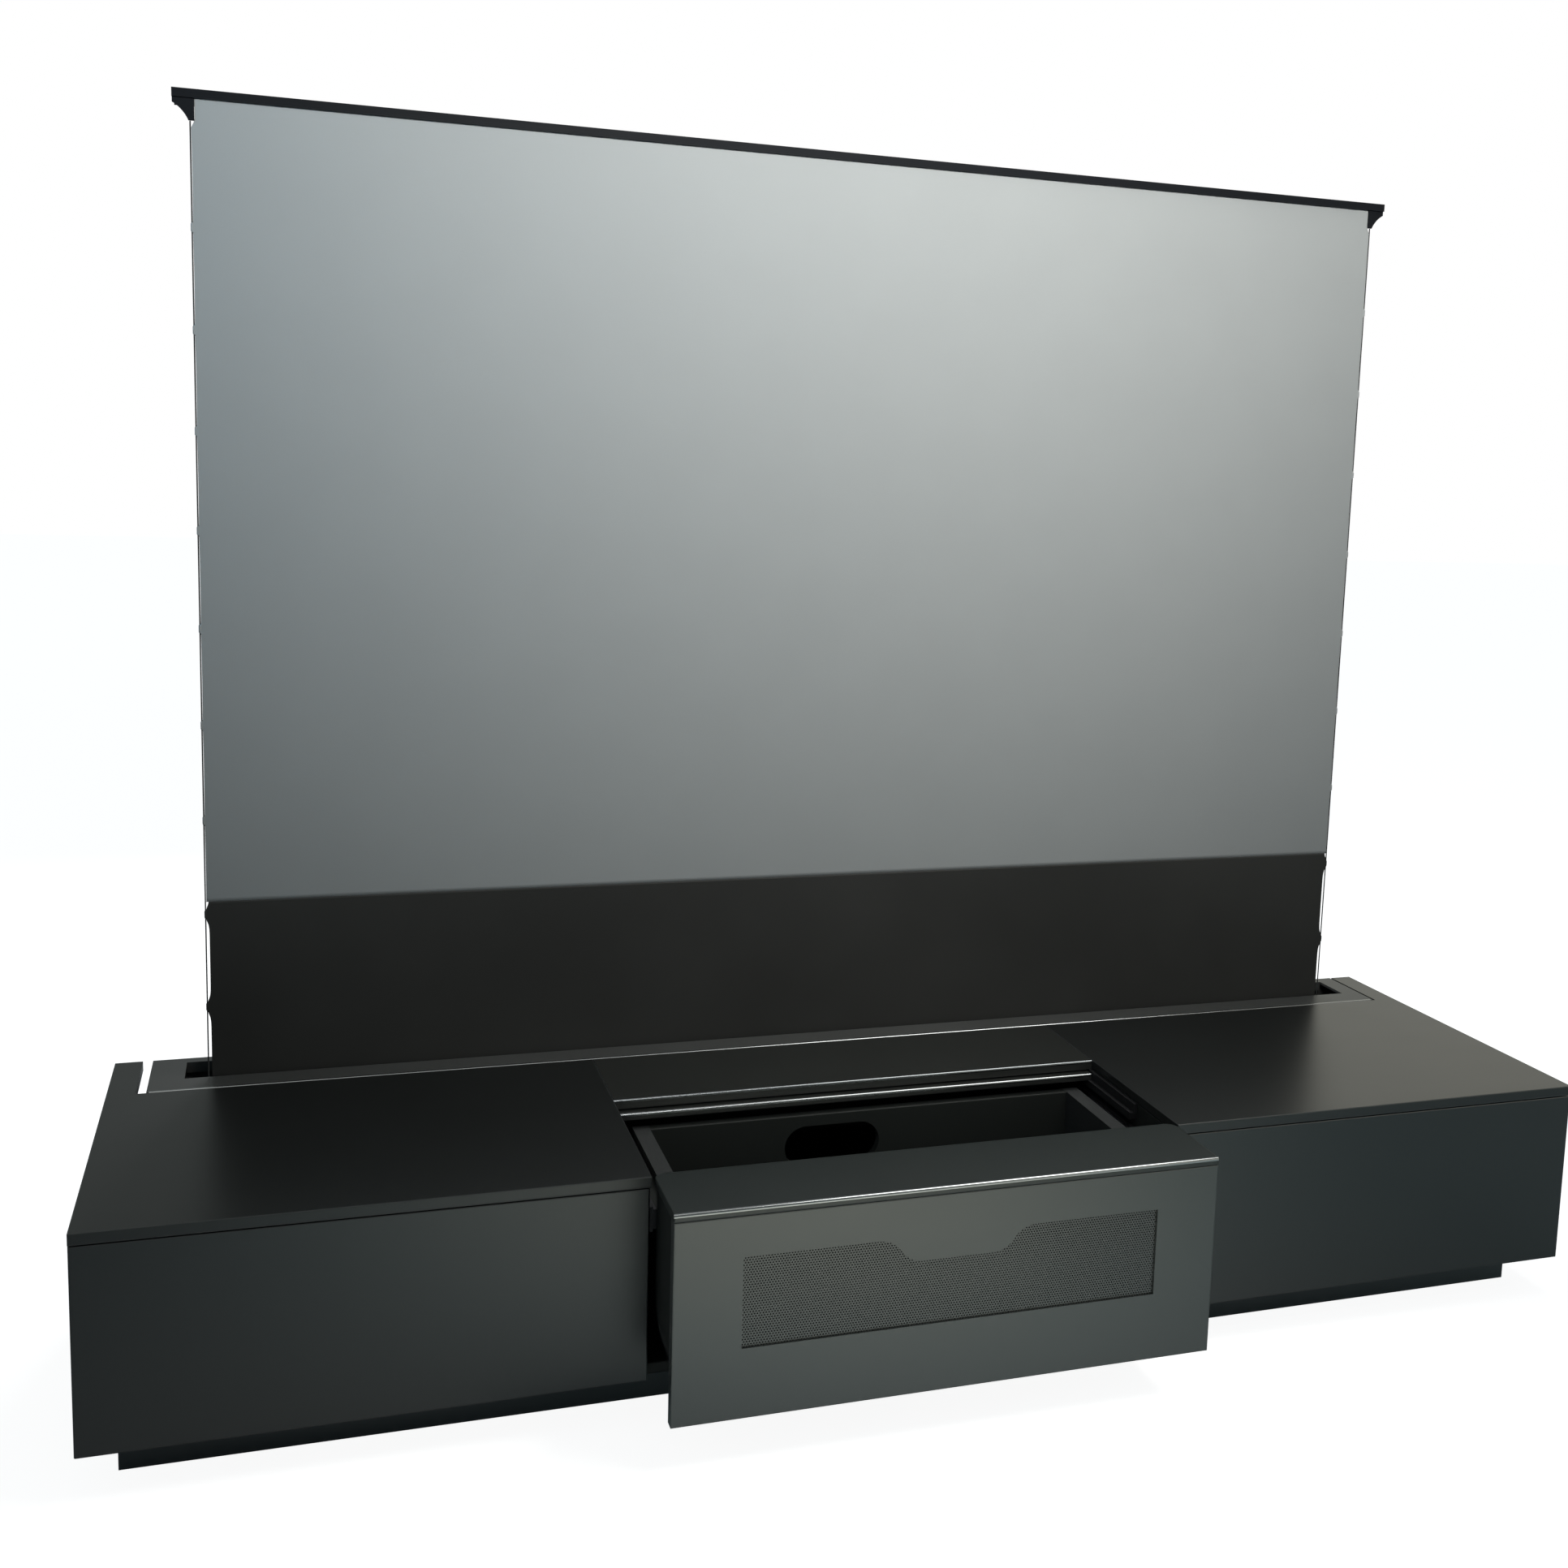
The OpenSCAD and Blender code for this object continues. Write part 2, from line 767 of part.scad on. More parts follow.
// The motor lies in the tube's left end: its head is held outside the bracket, its shaft drives the crown
module roller_motor() {
    head = motor_head / 2;
    color(dark_c) {
        round_x(roller_y, roller_z, motor_d, motor_x);
        round_x(roller_y, roller_z, pin_d, [screen_x - bracket_x[1] - washer_t, motor_x[0]]);
        round_x(roller_y, roller_z, pin_d, [motor_x[1], motor_x[1] + plug_len + bracket_gap]);
        span([screen_x - bracket_x[1] - pin_d, screen_x - bracket_x[1] - slide_gap],
            [roller_y - head, roller_y + head], [roller_z - head, roller_z + head]);
    }
}

module control_box() {
    x = [screen_x + bracket_x[1] + control_clear, case_x[1] - control_clear];
    y = [roller_y + bracket_half + control_clear, case_back - sheet_t - control_clear];
    color(dark_c)
        along_z([case_z, case_z + control_h])
            front_plan(x, y, front_edge_r);
}

gland_x = housing_x[0] + gland_in;
gland_z = housing_z[0] + gland_rise;

// Cable gland through the housing's back wall: a flange outside, a nut and the stem inside, and its bore
module power_gland() {
    flange_t = 4;
    nut_t = 5;
    stem_l = 13;
    flange_d = gland_d + 6;
    y = [case_back - sheet_t - stem_l, case_back + flange_t];
    color(dark_c)
        difference() {
            union() {
                round_y(gland_x, gland_z, gland_d, y);
                round_y(gland_x, gland_z, flange_d, [case_back, y[1]]);
                round_y(gland_x, gland_z, flange_d, [case_back - sheet_t - nut_t, case_back - sheet_t]);
            }
            round_y(gland_x, gland_z, cable_d, [y[0] - 1, y[1] + 1]);
        }
}

// Lift

pivot_plate_x = [pivot_x - pivot_plate_w / 2, pivot_x + pivot_plate_w / 2];
pin_head_d = arm_pin_d + 6;

module arm_base_brackets() {
    pin_end = lower_y[1] + slide_gap;
    color(steel_c)
        both_ends()
            union() {
                span(pivot_plate_x, base_plate_y, [case_z, base_pivot_z]);
                round_y(pivot_x, base_pivot_z, arm_w, base_plate_y);
                span(pivot_plate_x, [base_plate_y[0], base_plate_y[1] + foot_d], [case_z, case_z + foot_t]);
                round_y(pivot_x, base_pivot_z, arm_pin_d, [base_plate_y[1] - 1, pin_end]);
                round_y(pivot_x, base_pivot_z, pin_head_d, [pin_end, pin_end + 1.5 * washer_t]);
            }
}

// Two bolts through the foot of each pivot bracket, with hexagon heads
module bracket_bolts() {
    head_d = 14;
    head_h = 5;
    y = base_plate_y[1] + foot_d - head_d + 3;
    color(steel_c)
        both_ends()
            for (side = [-1, 1])
                translate([pivot_x + side * pivot_plate_w / 3, front_y + y, case_z + foot_t])
                    cylinder(h = head_h, d = head_d, $fn = 6);
}

// An arm that lies along +x from its first pivot, with both bores, turned up by deg
module arm(x, z, y, deg, lightened) {
    color(steel_c)
        translate([x, 0, z])
            rotate([0, -deg, 0])
                difference() {
                    along_y(y)
                        translate([arm_len / 2, 0])
                            oblong(arm_len + arm_w, arm_w);
                    for (px = [0, arm_len])
                        round_y(px, 0, arm_pin_d + 2 * pin_play, [y[0] - 1, y[1] + 1]);
                    along_y(lightened)
                        translate([arm_len / 2, 0])
                            oblong(arm_len - 3 * arm_w, arm_w / 2);
                }
}

// The pockets that lighten the arms, in the face away from the neighbouring arm
pocket_d = arm_t / 4;
lower_pocket = [lower_y[0] - 1, lower_y[0] + pocket_d];
upper_pocket = [upper_y[1] - pocket_d, upper_y[1] + 1];

module left_lower_arm() {
    arm(screen_x - pivot_x, base_pivot_z, lower_y, raised_deg, lower_pocket);
}

module left_upper_arm() {
    arm(screen_x - elbow_x, elbow_z, upper_y, 180 - raised_deg, upper_pocket);
}

module right_lower_arm() {
    arm(screen_x + pivot_x, base_pivot_z, lower_y, 180 - raised_deg, lower_pocket);
}

module right_upper_arm() {
    difference() {
        arm(screen_x + elbow_x, elbow_z, upper_y, raised_deg, upper_pocket);
        round_y(screen_x + pivot_x, top_pivot_z, arm_pin_d + 2 * open_play, [upper_y[0] - 1, upper_y[1] + 1]);
    }
}

elbow_head_t = 2.7;

module elbow_pin(x) {
    y = [lower_y[0] - slide_gap, upper_y[1] + slide_gap];
    color(bright_c) {
        round_y(x, elbow_z, arm_pin_d, y);
        round_y(x, elbow_z, pin_head_d, [y[0] - elbow_head_t, y[0]]);
        round_y(x, elbow_z, pin_head_d, [y[1], y[1] + elbow_head_t]);
    }
}

module left_elbow_pin() {
    elbow_pin(screen_x - elbow_x);
}

module right_elbow_pin() {
    elbow_pin(screen_x + elbow_x);
}

// Top bar

// A channel open below, with a rib that clamps the fabric against the front wall
module top_bar() {
    color(dark_c)
        along_x(bar_x)
            difference() {
                translate([bar_y[0], bar_z[0]])
                    square([bar_y[1] - bar_y[0], bar_h]);
                translate([clamp_y + bar_wall, bar_z[0] - eps])
                    square([bar_y[1] - clamp_y - 2 * bar_wall, bar_h - bar_wall]);
                translate([bar_y[0] + bar_wall, bar_z[0] - eps])
                    square([clamp_y - bar_y[0] - bar_wall, bar_h - bar_wall]);
            }
}

// Gussets under the bar's ends, just outside the fabric, with a shallow concave lower edge
module bar_gussets() {
    x = [fabric_x + slide_gap, bar_len / 2 - slide_gap];
    y = clamp_y - slide_gap;
    tip = [x[0] + tab_w, bar_z[0] - gusset_h];
    lip = [x[1], bar_z[0] - gusset_lip];
    top = bar_z[1] - bar_wall;
    inward = gusset_dip * [-1, 1] / norm([-1, 1]);
    edge = [for (i = [0:curve_steps]) let (t = i / curve_steps)
        tip + (lip - tip) * t + 4 * t * (1 - t) * inward];
    color(dark_c)
        both_ends()
            along_y([y - gusset_t, y])
                polygon(concat([[x[0], top], [x[0], tip[1]]], edge, [[x[1], top]]));
}

module bar_pivot_plates() {
    color(steel_c)
        both_ends()
            difference() {
                union() {
                    span(pivot_plate_x, top_plate_y, [top_pivot_z, bar_z[1] - bar_wall]);
                    round_y(pivot_x, top_pivot_z, arm_w, top_plate_y);
                }
                round_y(pivot_x, top_pivot_z, arm_pin_d, [top_plate_y[0] - 1, top_plate_y[1] + 1]);
            }
}

module bar_pivot_pins() {
    color(bright_c)
        both_ends() {
            round_y(pivot_x, top_pivot_z, arm_pin_d, [upper_y[0] - slide_gap, top_plate_y[1]]);
            round_y(pivot_x, top_pivot_z, pin_head_d, [upper_y[0] - washer_t, upper_y[0] - slide_gap]);
        }
}

// Screen and roller

module screen_fabric() {
    color(screen_c)
        span([screen_x - fabric_x, screen_x + fabric_x], [fabric_y, fabric_y + fabric_t],
            [picture_z, bar_z[1] - bar_wall - slide_gap]);
}

module black_drop() {
    color(dark_c)
        span([screen_x - fabric_x, screen_x + fabric_x], [fabric_y, fabric_y + fabric_t],
            [roller_z, picture_z]);
}

tab_top = bar_z[0] - tab_first;
tab_count = floor((tab_top - cab_h) / tab_pitch) + 1;

// Each tab is sewn to the fabric's edge and holds the tension cord in a tunnel
module edge_tabs() {
    room = [cord_x - cord_play, cord_x + cord_t + cord_play];
    tunnel_y = [cord_y[0] - cord_play, cord_y[1] + cord_play];
    color(screen_c)
        both_ends()
            for (i = [0:tab_count - 1])
                translate([0, 0, tab_top - i * tab_pitch])
                    difference() {
                        along_y([tunnel_y[0] - tab_rim, tunnel_y[1] + tab_rim])
                            translate([fabric_x + slide_gap, 0])
                                tab_outline();
                        span(room, tunnel_y, [-tab_h, tab_h]);
                    }
}

// Half the height of a tab at a distance x from the fabric
function tab_half(x) = tab_h / 2 + tab_flare * pow(1 - x / tab_w, 2)
    - tab_r + sqrt(pow(tab_r, 2) - pow(max(0, x - tab_w + tab_r), 2));

// A tab's outline, a lobe with a wide foot and rounded outer corners
module tab_outline() {
    xs = [for (i = [0:curve_steps]) tab_w * i / curve_steps];
    upper = [for (x = xs) [x, tab_half(x)]];
    lower = [for (i = [curve_steps:-1:0]) [xs[i], -tab_half(xs[i])]];
    polygon(concat(upper, lower));
}

// The cord runs straight through the tabs from the gusset to the roller
cord_x = fabric_x + slide_gap + tab_w - tab_rim - cord_play - cord_t;
cord_y = [fabric_y, fabric_y + cord_t];
cord_z = [roller_z, bar_z[0] - gusset_h - slide_gap];

module tension_cords() {
    color(dark_c)
        both_ends()
            span([cord_x, cord_x + cord_t], cord_y, cord_z);
}

module roller_tube() {
    color(steel_c)
        difference() {
            round_x(roller_y, roller_z, tube_d, [screen_x - tube_x, screen_x + tube_x]);
            round_x(roller_y, roller_z, tube_d - 2 * tube_wall,
                [screen_x - tube_x - 1, screen_x + tube_x + 1]);
        }
}

plug_d = tube_d - 2 * tube_wall - 2 * pin_play;

// Takes the motor's shaft in its bore
module roller_drive_crown() {
    x = motor_x[1] + 2 * washer_t;
    color(dark_c)
        difference() {
            round_x(roller_y, roller_z, plug_d, [x, x + plug_len]);
            round_x(roller_y, roller_z, pin_d + 2 * pin_play, [x - 1, x + plug_len + 1]);
        }
}

// End plug whose pin turns in the right bracket
module roller_idler() {
    x = screen_x + tube_x;
    color(dark_c) {
        round_x(roller_y, roller_z, plug_d, [x - plug_len, x]);
        round_x(roller_y, roller_z, pin_d, [x, x + 2 * bracket_gap + bracket_t]);
    }
}

// Projector drawer: drawn closed, then pulled out

module projector_front() {
    x = bay - drawer_side_gap;
    z = [plinth_h + edge_r, cap_z - cap_joint];
    pocket = grille_w / 2 + grille_rim;
    color(front_c)
        pulled_out()
            difference() {
                along_z(z)
                    front_plan([-x, x], [0, front_t], edge_r);
                along_y([-1, grille_lip + eps])
                    grille_outline();
                span([-pocket, pocket], [grille_lip, front_t + 1],
                    [grille_z - grille_rim, grille_z + grille_h + grille_rim]);
            }
}

hole_row = hole_pitch * sqrt(3) / 2;

// Perforated in staggered rows, wherever a hole lies wholly inside the outline
module projector_grille() {
    x = grille_w / 2 + grille_rim - grille_play;
    z = [grille_z - grille_rim + grille_play, grille_z + grille_h + grille_rim - grille_play];
    rows = floor((grille_h - hole_pitch) / hole_row);
    cols = floor((grille_w - hole_pitch) / hole_pitch / 2);
    low = grille_z + (grille_h - rows * hole_row) / 2;
    color(front_c)
        pulled_out()
            along_y([grille_lip, grille_lip + grille_t])
                difference() {
                    translate([-x, z[0]])
                        square([2 * x, z[1] - z[0]]);
                    for (row = [0:rows], col = [-cols:cols]) {
                        hx = (col + (row % 2) / 2) * hole_pitch;
                        hz = low + row * hole_row;
                        if (abs(hx) < grille_w / 2 - hole_pitch / 2
                                && hz < grille_top(hx) - hole_pitch / 2)
                            translate([hx, hz])
                                circle(d = hole_d, $fn = 6);
                    }
                }
}

// The board over the front, with round back corners and its front edge cut back for the edge strip
module projector_cap() {
    x = bay - drawer_side_gap;
    color(front_c)
        pulled_out()
            difference() {
                along_z([cap_z, cab_h])
                    translate([0, cap_d])
                        mirror([0, 1])
                            front_plan([-x, x], [0, cap_d], cap_corner_r);
                span([-x - 1, x + 1], [-1, trim_s], [cab_h - trim_s, cab_h + 1]);
            }
}

module cap_edge_trim() {
    pulled_out()
        edge_trim([drawer_side_gap - bay, bay - drawer_side_gap], 0, cab_h);
}

module projector_cheeks() {
    y = [front_t, front_t + cheek_d];
    color(cabinet_c)
        pulled_out()
            both_sides()
                along_x([box_x, box_x + cheek_t])
                    translate([0, cheek_z + cap_z])
                        mirror([0, 1])
                            difference() {
                                translate([y[0], cheek_z])
                                    square([cheek_d, cap_z - cheek_z]);
                                difference() {
                                    translate([y[1] - cheek_r, cap_z - cheek_r])
                                        square(cheek_r + 1);
                                    translate([y[1] - cheek_r, cap_z - cheek_r])
                                        circle(cheek_r);
                                }
                            }
}

module projector_box_sides() {
    color(box_c)
        pulled_out()
            both_sides()
                span([box_in, box_x], [front_t, front_t + box_d], [box_z, box_top]);
}

module projector_box_back() {
    y = [front_t + box_d - panel_t, front_t + box_d];
    color(cabinet_c)
        pulled_out()
            difference() {
                span([-box_in, box_in], y, [box_z, box_top]);
                along_y([y[0] - 1, y[1] + 1])
                    translate([cut_x, cut_z])
                        oblong(cut_w, cut_h);
            }
}

module projector_shelf() {
    color(cabinet_c)
        pulled_out()
            span([-box_in, box_in], [front_t, front_t + box_d - panel_t],
                [box_z + shelf_in, box_z + shelf_in + shelf_t]);
}

module centre_moving_rails() {
    color(bright_c)
        pulled_out()
            both_sides()
                rail_at(bay, rail_y, centre_rail_z)
                    moving_rail_section();
}

module runner_packers() {
    color(cabinet_c)
        pulled_out()
            both_sides()
                span([box_x, box_x + packer_t], rail_y,
                    [centre_rail_z + 4 * rail_wall, centre_rail_z + rail_h - 4 * rail_wall]);
}

module sliding_lid() {
    x = bay - lid_side_gap;
    color(front_c)
        along_x([-x, x])
            rebated_section(lid_y, lid_z);
}

module lid_edge_trim() {
    edge_trim([lid_side_gap - bay, bay - lid_side_gap], lid_y[0], lid_z[1]);
}

// Side drawers, drawn on the right

module drawer_front() {
    color(cabinet_c)
        along_z(front_z)
            front_plan(side_front_x, [0, front_t], front_edge_r);
}

// Sides between an inner front and a back, with the bottom seated among them
module drawer_box() {
    x = side_box_x;
    y = [front_t, housing_y[0] - side_box_clear];
    z = [side_box_z, side_box_z + side_box_h];
    inner_x = [x[0] + board_t + joint_line, x[1] - board_t - joint_line];
    inner_y = [y[0] + board_t + joint_line, y[1] - board_t - joint_line];
    base_z = [z[0] + side_base_in, z[0] + side_base_in + side_base_t];
    color(box_c) {
        span([x[0], x[0] + board_t], y, z);
        span([x[1] - board_t, x[1]], y, z);
        span(inner_x, [y[0], y[0] + board_t], z);
        span(inner_x, [y[1] - board_t, y[1]], z);
        span(inner_x, inner_y, base_z);
    }
}

module moving_rails() {
    color(bright_c) {
        rail_at(unit_x[1], side_rail_y, side_rail_z)
            moving_rail_section();
        rail_facing_out(unit_x[0], side_rail_y, side_rail_z)
            moving_rail_section();
    }
}

module left_drawer_front() {
    mirror([1, 0, 0])
        drawer_front();
}

module left_drawer_box() {
    mirror([1, 0, 0])
        drawer_box();
}

module left_moving_rails() {
    mirror([1, 0, 0])
        moving_rails();
}

module right_drawer_front() {
    drawer_front();
}

module right_drawer_box() {
    drawer_box();
}

module right_moving_rails() {
    moving_rails();
}

plinth_frame();
outer_sides();
inner_sides();
side_bottom_boards();
centre_bottom_board();
side_back_panels();
centre_back_panel();
left_top_board();
right_top_board();
centre_top_strip();
strip_edge_trim();
lid_guides();
centre_fixed_rails();
side_fixed_rails();
housing_case();
housing_front_strip();
housing_edge_trim();
housing_back_strip();
housing_end_caps();
roller_brackets();
roller_motor();
control_box();
power_gland();
arm_base_brackets();
bracket_bolts();
screen_fabric();
black_drop();
edge_tabs();
tension_cords();
roller_tube();
roller_drive_crown();
roller_idler();
left_lower_arm();
left_upper_arm();
right_lower_arm();
right_upper_arm();
left_elbow_pin();
right_elbow_pin();
top_bar();
bar_gussets();
bar_pivot_plates();
bar_pivot_pins();
projector_front();
projector_grille();
projector_cap();
cap_edge_trim();
projector_cheeks();
projector_box_sides();
projector_box_back();
projector_shelf();
centre_moving_rails();
runner_packers();
sliding_lid();
lid_edge_trim();
left_drawer_front();
left_drawer_box();
left_moving_rails();
right_drawer_front();
right_drawer_box();
right_moving_rails();
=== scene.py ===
import math
import bmesh
import bpy
import numpy as np
from mathutils import Matrix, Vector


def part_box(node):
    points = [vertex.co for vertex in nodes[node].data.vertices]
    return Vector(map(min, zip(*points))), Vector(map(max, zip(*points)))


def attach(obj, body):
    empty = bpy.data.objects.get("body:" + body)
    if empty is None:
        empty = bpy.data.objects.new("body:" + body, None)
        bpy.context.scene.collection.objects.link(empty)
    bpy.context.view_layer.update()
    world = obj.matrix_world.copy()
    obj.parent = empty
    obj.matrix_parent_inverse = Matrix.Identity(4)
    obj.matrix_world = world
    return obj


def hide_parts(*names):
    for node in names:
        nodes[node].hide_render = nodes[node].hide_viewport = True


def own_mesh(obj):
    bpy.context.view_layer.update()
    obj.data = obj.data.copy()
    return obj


# Media cabinet with a projector drawer and a rising screen, dressed for rendering. Metres, Z up,
# the cabinet's width along X and its back towards +Y.

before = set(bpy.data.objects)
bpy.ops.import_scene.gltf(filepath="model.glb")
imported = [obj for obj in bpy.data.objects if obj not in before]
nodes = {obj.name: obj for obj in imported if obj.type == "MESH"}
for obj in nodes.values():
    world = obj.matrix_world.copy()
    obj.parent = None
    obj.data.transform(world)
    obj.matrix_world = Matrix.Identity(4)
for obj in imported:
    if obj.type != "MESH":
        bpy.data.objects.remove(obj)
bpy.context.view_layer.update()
print("frame loaded:", len(nodes), "nodes")


class Wire:
    # One socket of a shader tree. Sums, differences, products and quotients of wires add Math nodes.

    def __init__(self, tree, socket):
        self.tree = tree
        self.socket = socket

    def node(self, kind, settings=None, sockets=None, output=0):
        # A new node: its settings come first, then the values or links of its sockets.
        made = self.tree.nodes.new("ShaderNode" + kind)
        for key, value in (settings or {}).items():
            setattr(made, key, value)
        for key, value in (sockets or {}).items():
            if isinstance(value, Wire):
                self.tree.links.new(value.socket, made.inputs[key])
            else:
                made.inputs[key].default_value = value
        return Wire(self.tree, made.outputs[output])

    def maths(self, operation, first, second=0.0):
        return self.node("Math", {"operation": operation}, {0: first, 1: second})

    def __add__(self, other):
        return self.maths("ADD", self, other)

    def __sub__(self, other):
        return self.maths("SUBTRACT", self, other)

    def __rsub__(self, other):
        return self.maths("SUBTRACT", other, self)

    def __mul__(self, other):
        return self.maths("MULTIPLY", self, other)

    def __truediv__(self, other):
        return self.maths("DIVIDE", self, other)

    def __rtruediv__(self, other):
        return self.maths("DIVIDE", other, self)

    __radd__ = __add__
    __rmul__ = __mul__

    def size(self):
        return self.maths("ABSOLUTE", self)

    def sine(self):
        return self.maths("SINE", self)

    def least(self, other):
        return self.maths("MINIMUM", self, other)

    def most(self, other):
        return self.maths("MAXIMUM", self, other)

    def centred(self):
        # A noise, which lies round 0.5, brought down to lie round 0.
        return self - 0.5

    def ramp(self, low, high):
        # 0 at low and 1 at high, smooth between.
        return self.node("MapRange", {"interpolation_type": "SMOOTHSTEP"}, {0: self, 1: low, 2: high})

    def axis(self, letter):
        return self.node("SeparateXYZ", {}, {0: self}, letter)

    def noise(self, scale, detail, stretch=None):
        place = self.node("Mapping", {}, {"Vector": self, "Scale": stretch}) if stretch else self
        return self.node("TexNoise", {}, {"Vector": place, "Scale": scale, "Detail": detail})

    def blendColours(self, first, second):
        # first where this wire is 0, second where it is 1. The Mix node has its colours on sockets 6 and 7,
        # and the blended colour is its output 2.
        return self.node("Mix", {"data_type": "RGBA"}, {0: self, 6: asColour(first), 7: asColour(second)}, 2)

    def bump(self, depth, strength=1.0):
        return self.node("Bump", {}, {"Height": self, "Distance": depth, "Strength": strength})


def asColour(value):
    return value if isinstance(value, Wire) else (*value, 1.0)


def tint(colour, share):
    return tuple(min(1.0, c * share) for c in colour)


def tintPair(look, key):
    # The look's colour at the two lightnesses that the key names.
    return [tint(look["colour"], share) for share in look[key]]


def startFinish(name, space="Object"):
    # A new material, its shader, and the coordinates that its patterns read.
    made = bpy.data.materials.new(name)
    made.use_nodes = True
    tree = made.node_tree
    tree.nodes.clear()
    out = tree.nodes.new("ShaderNodeOutputMaterial")
    shader = tree.nodes.new("ShaderNodeBsdfPrincipled")
    tree.links.new(shader.outputs[0], out.inputs["Surface"])
    coords = tree.nodes.new("ShaderNodeTexCoord")
    return made, shader, Wire(tree, coords.outputs[space])


def setFinish(shader, sockets):
    for key, value in sockets.items():
        if isinstance(value, Wire):
            value.tree.links.new(value.socket, shader.inputs[key])
        else:
            shader.inputs[key].default_value = value


def edgeGap(pos, low, high, mirrored):
    # Distance from a point on a board's surface to its nearest edge.
    # Of the three distances to the board's faces the smallest is 0 on the surface, so the middle one is it.
    gaps = []
    for i, letter in enumerate("XYZ"):
        along = pos.axis(letter)
        if mirrored and i == 0:
            along = along.size()
        gaps.append((along - low[i]).least(high[i] - along))
    a, b, c = gaps
    return a.least(b).most(a.most(b).least(c))


def lacquer(name, look, low=None, high=None, mirrored=False):
    # Lacquered board: slow drift of tone, fine orange peel, wiped smears in the gloss, specks of dust and
    # eased paler edges, which are a little wear on most boards and on the tops mostly a painted highlight.
    # The eased edge is a height that rises by easeSlope times the distance from the edge and is level past
    # easeWidth.
    made, shader, pos = startFinish(name)
    drift = pos.noise(look["driftScale"], detail=3.0)
    smear = pos.noise(look["smearScale"], detail=4.0, stretch=look["smearStretch"])
    peel = pos.noise(look["peelScale"], detail=2.0)
    dust = pos.noise(look["dustScale"], detail=1.0).ramp(*look["dustSteps"])
    colour = drift.ramp(*look["driftSteps"]).blendColours(*tintPair(look, "driftTints"))
    colour = (dust * look["dust"]).blendColours(colour, look["dustColour"])
    rough = smear.centred() * look["smear"] + look["roughness"] + dust * look["dustRoughness"]
    height = peel * look["peelDepth"]
    coat = look["coat"]
    if "bandCoat" in look:  # the board's front edge has a glossier band
        coat = (1 - (pos.axis("Y") - low[1]).ramp(*look["bandSteps"])) * look["bandCoat"] + coat
    if low is not None:
        gap = edgeGap(pos, low, high, mirrored)
        # Paler edges: the edge mask blends the colour towards the paler edge colour, slight wear on most
        # boards and a painted highlight on the tops.
        wearAndHighlightEdge = 1 - (gap + drift.centred() * look["edgeDrift"]).ramp(*look["edgeSteps"])
        colour = (wearAndHighlightEdge * look["edge"]).blendColours(colour, look["edgeWearAndHighlightColour"])
        rough = rough - wearAndHighlightEdge * look["edgePolish"]
        height = height + gap.least(look["easeWidth"]) * look["easeSlope"]
    setFinish(shader, {
        "Base Color": colour, "Roughness": rough, "Normal": height.bump(1.0),  # the height is in metres
        "Specular IOR Level": look["specular"], "Coat Weight": coat,
        "Coat Roughness": look["coatRoughness"]})
    return made


boardLook = {
    "colour": (0.0018, 0.0044, 0.0056), "roughness": 0.36, "specular": 1.0, "coat": 0.25,
    "coatRoughness": 0.36,
    "driftScale": 1.6, "driftSteps": (0.3, 0.7), "driftTints": (0.88, 1.12),
    "smearScale": 5.0, "smearStretch": (1, 1, 2.2), "smear": 0.06,
    "peelScale": 480.0, "peelDepth": 0.000006,
    "dustScale": 420.0, "dustSteps": (0.71, 0.78), "dustColour": (0.10, 0.105, 0.10), "dust": 0.08,
    "dustRoughness": 0.1,
    "edgeSteps": (0.0002, 0.0018), "edgeDrift": 0.0012, "edgeWearAndHighlightColour": (0.045, 0.048, 0.050), "edge": 0.1,
    "edgePolish": 0.06, "easeWidth": 0.0015, "easeSlope": 0.5}
plinthLook = dict(boardLook, colour=(0.050, 0.060, 0.066))
# On the tops edge 0.8 paints a highlight along every edge of the board in the paler edge colour.
topLook = dict(
    boardLook, colour=(0.0138, 0.0152, 0.0150), roughness=0.34, specular=0.5, coat=0.0, peelDepth=0.000003,
    smearStretch=(1, 2.2, 1), smear=0.03, edge=0.8, bandCoat=0.8, bandSteps=(0.0003, 0.0009))
lidLook = dict(topLook, colour=(0.0250, 0.0265, 0.0245), roughness=0.32)
frontLook = dict(
    boardLook, colour=(0.0095, 0.0150, 0.0140), driftScale=2.6, roughness=0.37, coat=1.0, coatRoughness=0.37,
    dustColour=(0.12, 0.13, 0.12), edgeWearAndHighlightColour=(0.10, 0.11, 0.10))
capLook = dict(frontLook, coat=0.0, specular=0.85)
grillePaintLook = dict(frontLook, colour=(0.019, 0.0215, 0.019), dust=0.05)
insideLook = dict(
    boardLook, colour=(0.0205, 0.0228, 0.0212), roughness=0.5, specular=0.3, coat=0.0, dust=0.15)
cheekLook = dict(insideLook, roughness=0.42)


def melamine(name, look):
    # Grey board: fibre-like flecks stretched along the board, under slow clouds that darken and dull it.
    made, shader, pos = startFinish(name)
    fleck = pos.noise(look["fleckScale"], detail=3.0, stretch=look["stretch"]).ramp(*look["fleckSteps"])
    cloud = pos.noise(look["cloudScale"], detail=3.0)
    colour = fleck.blendColours(*tintPair(look, "fleckTints"))
    shadow = cloud.ramp(*look["cloudSteps"]) * look["cloud"]
    colour = shadow.blendColours(colour, tint(look["colour"], look["cloudTint"]))
    setFinish(shader, {
        "Base Color": colour, "Roughness": cloud * look["cloudRoughness"] + look["roughness"],
        "Normal": fleck.bump(look["fleckDepth"], look["relief"]), "Specular IOR Level": look["specular"]})
    return made


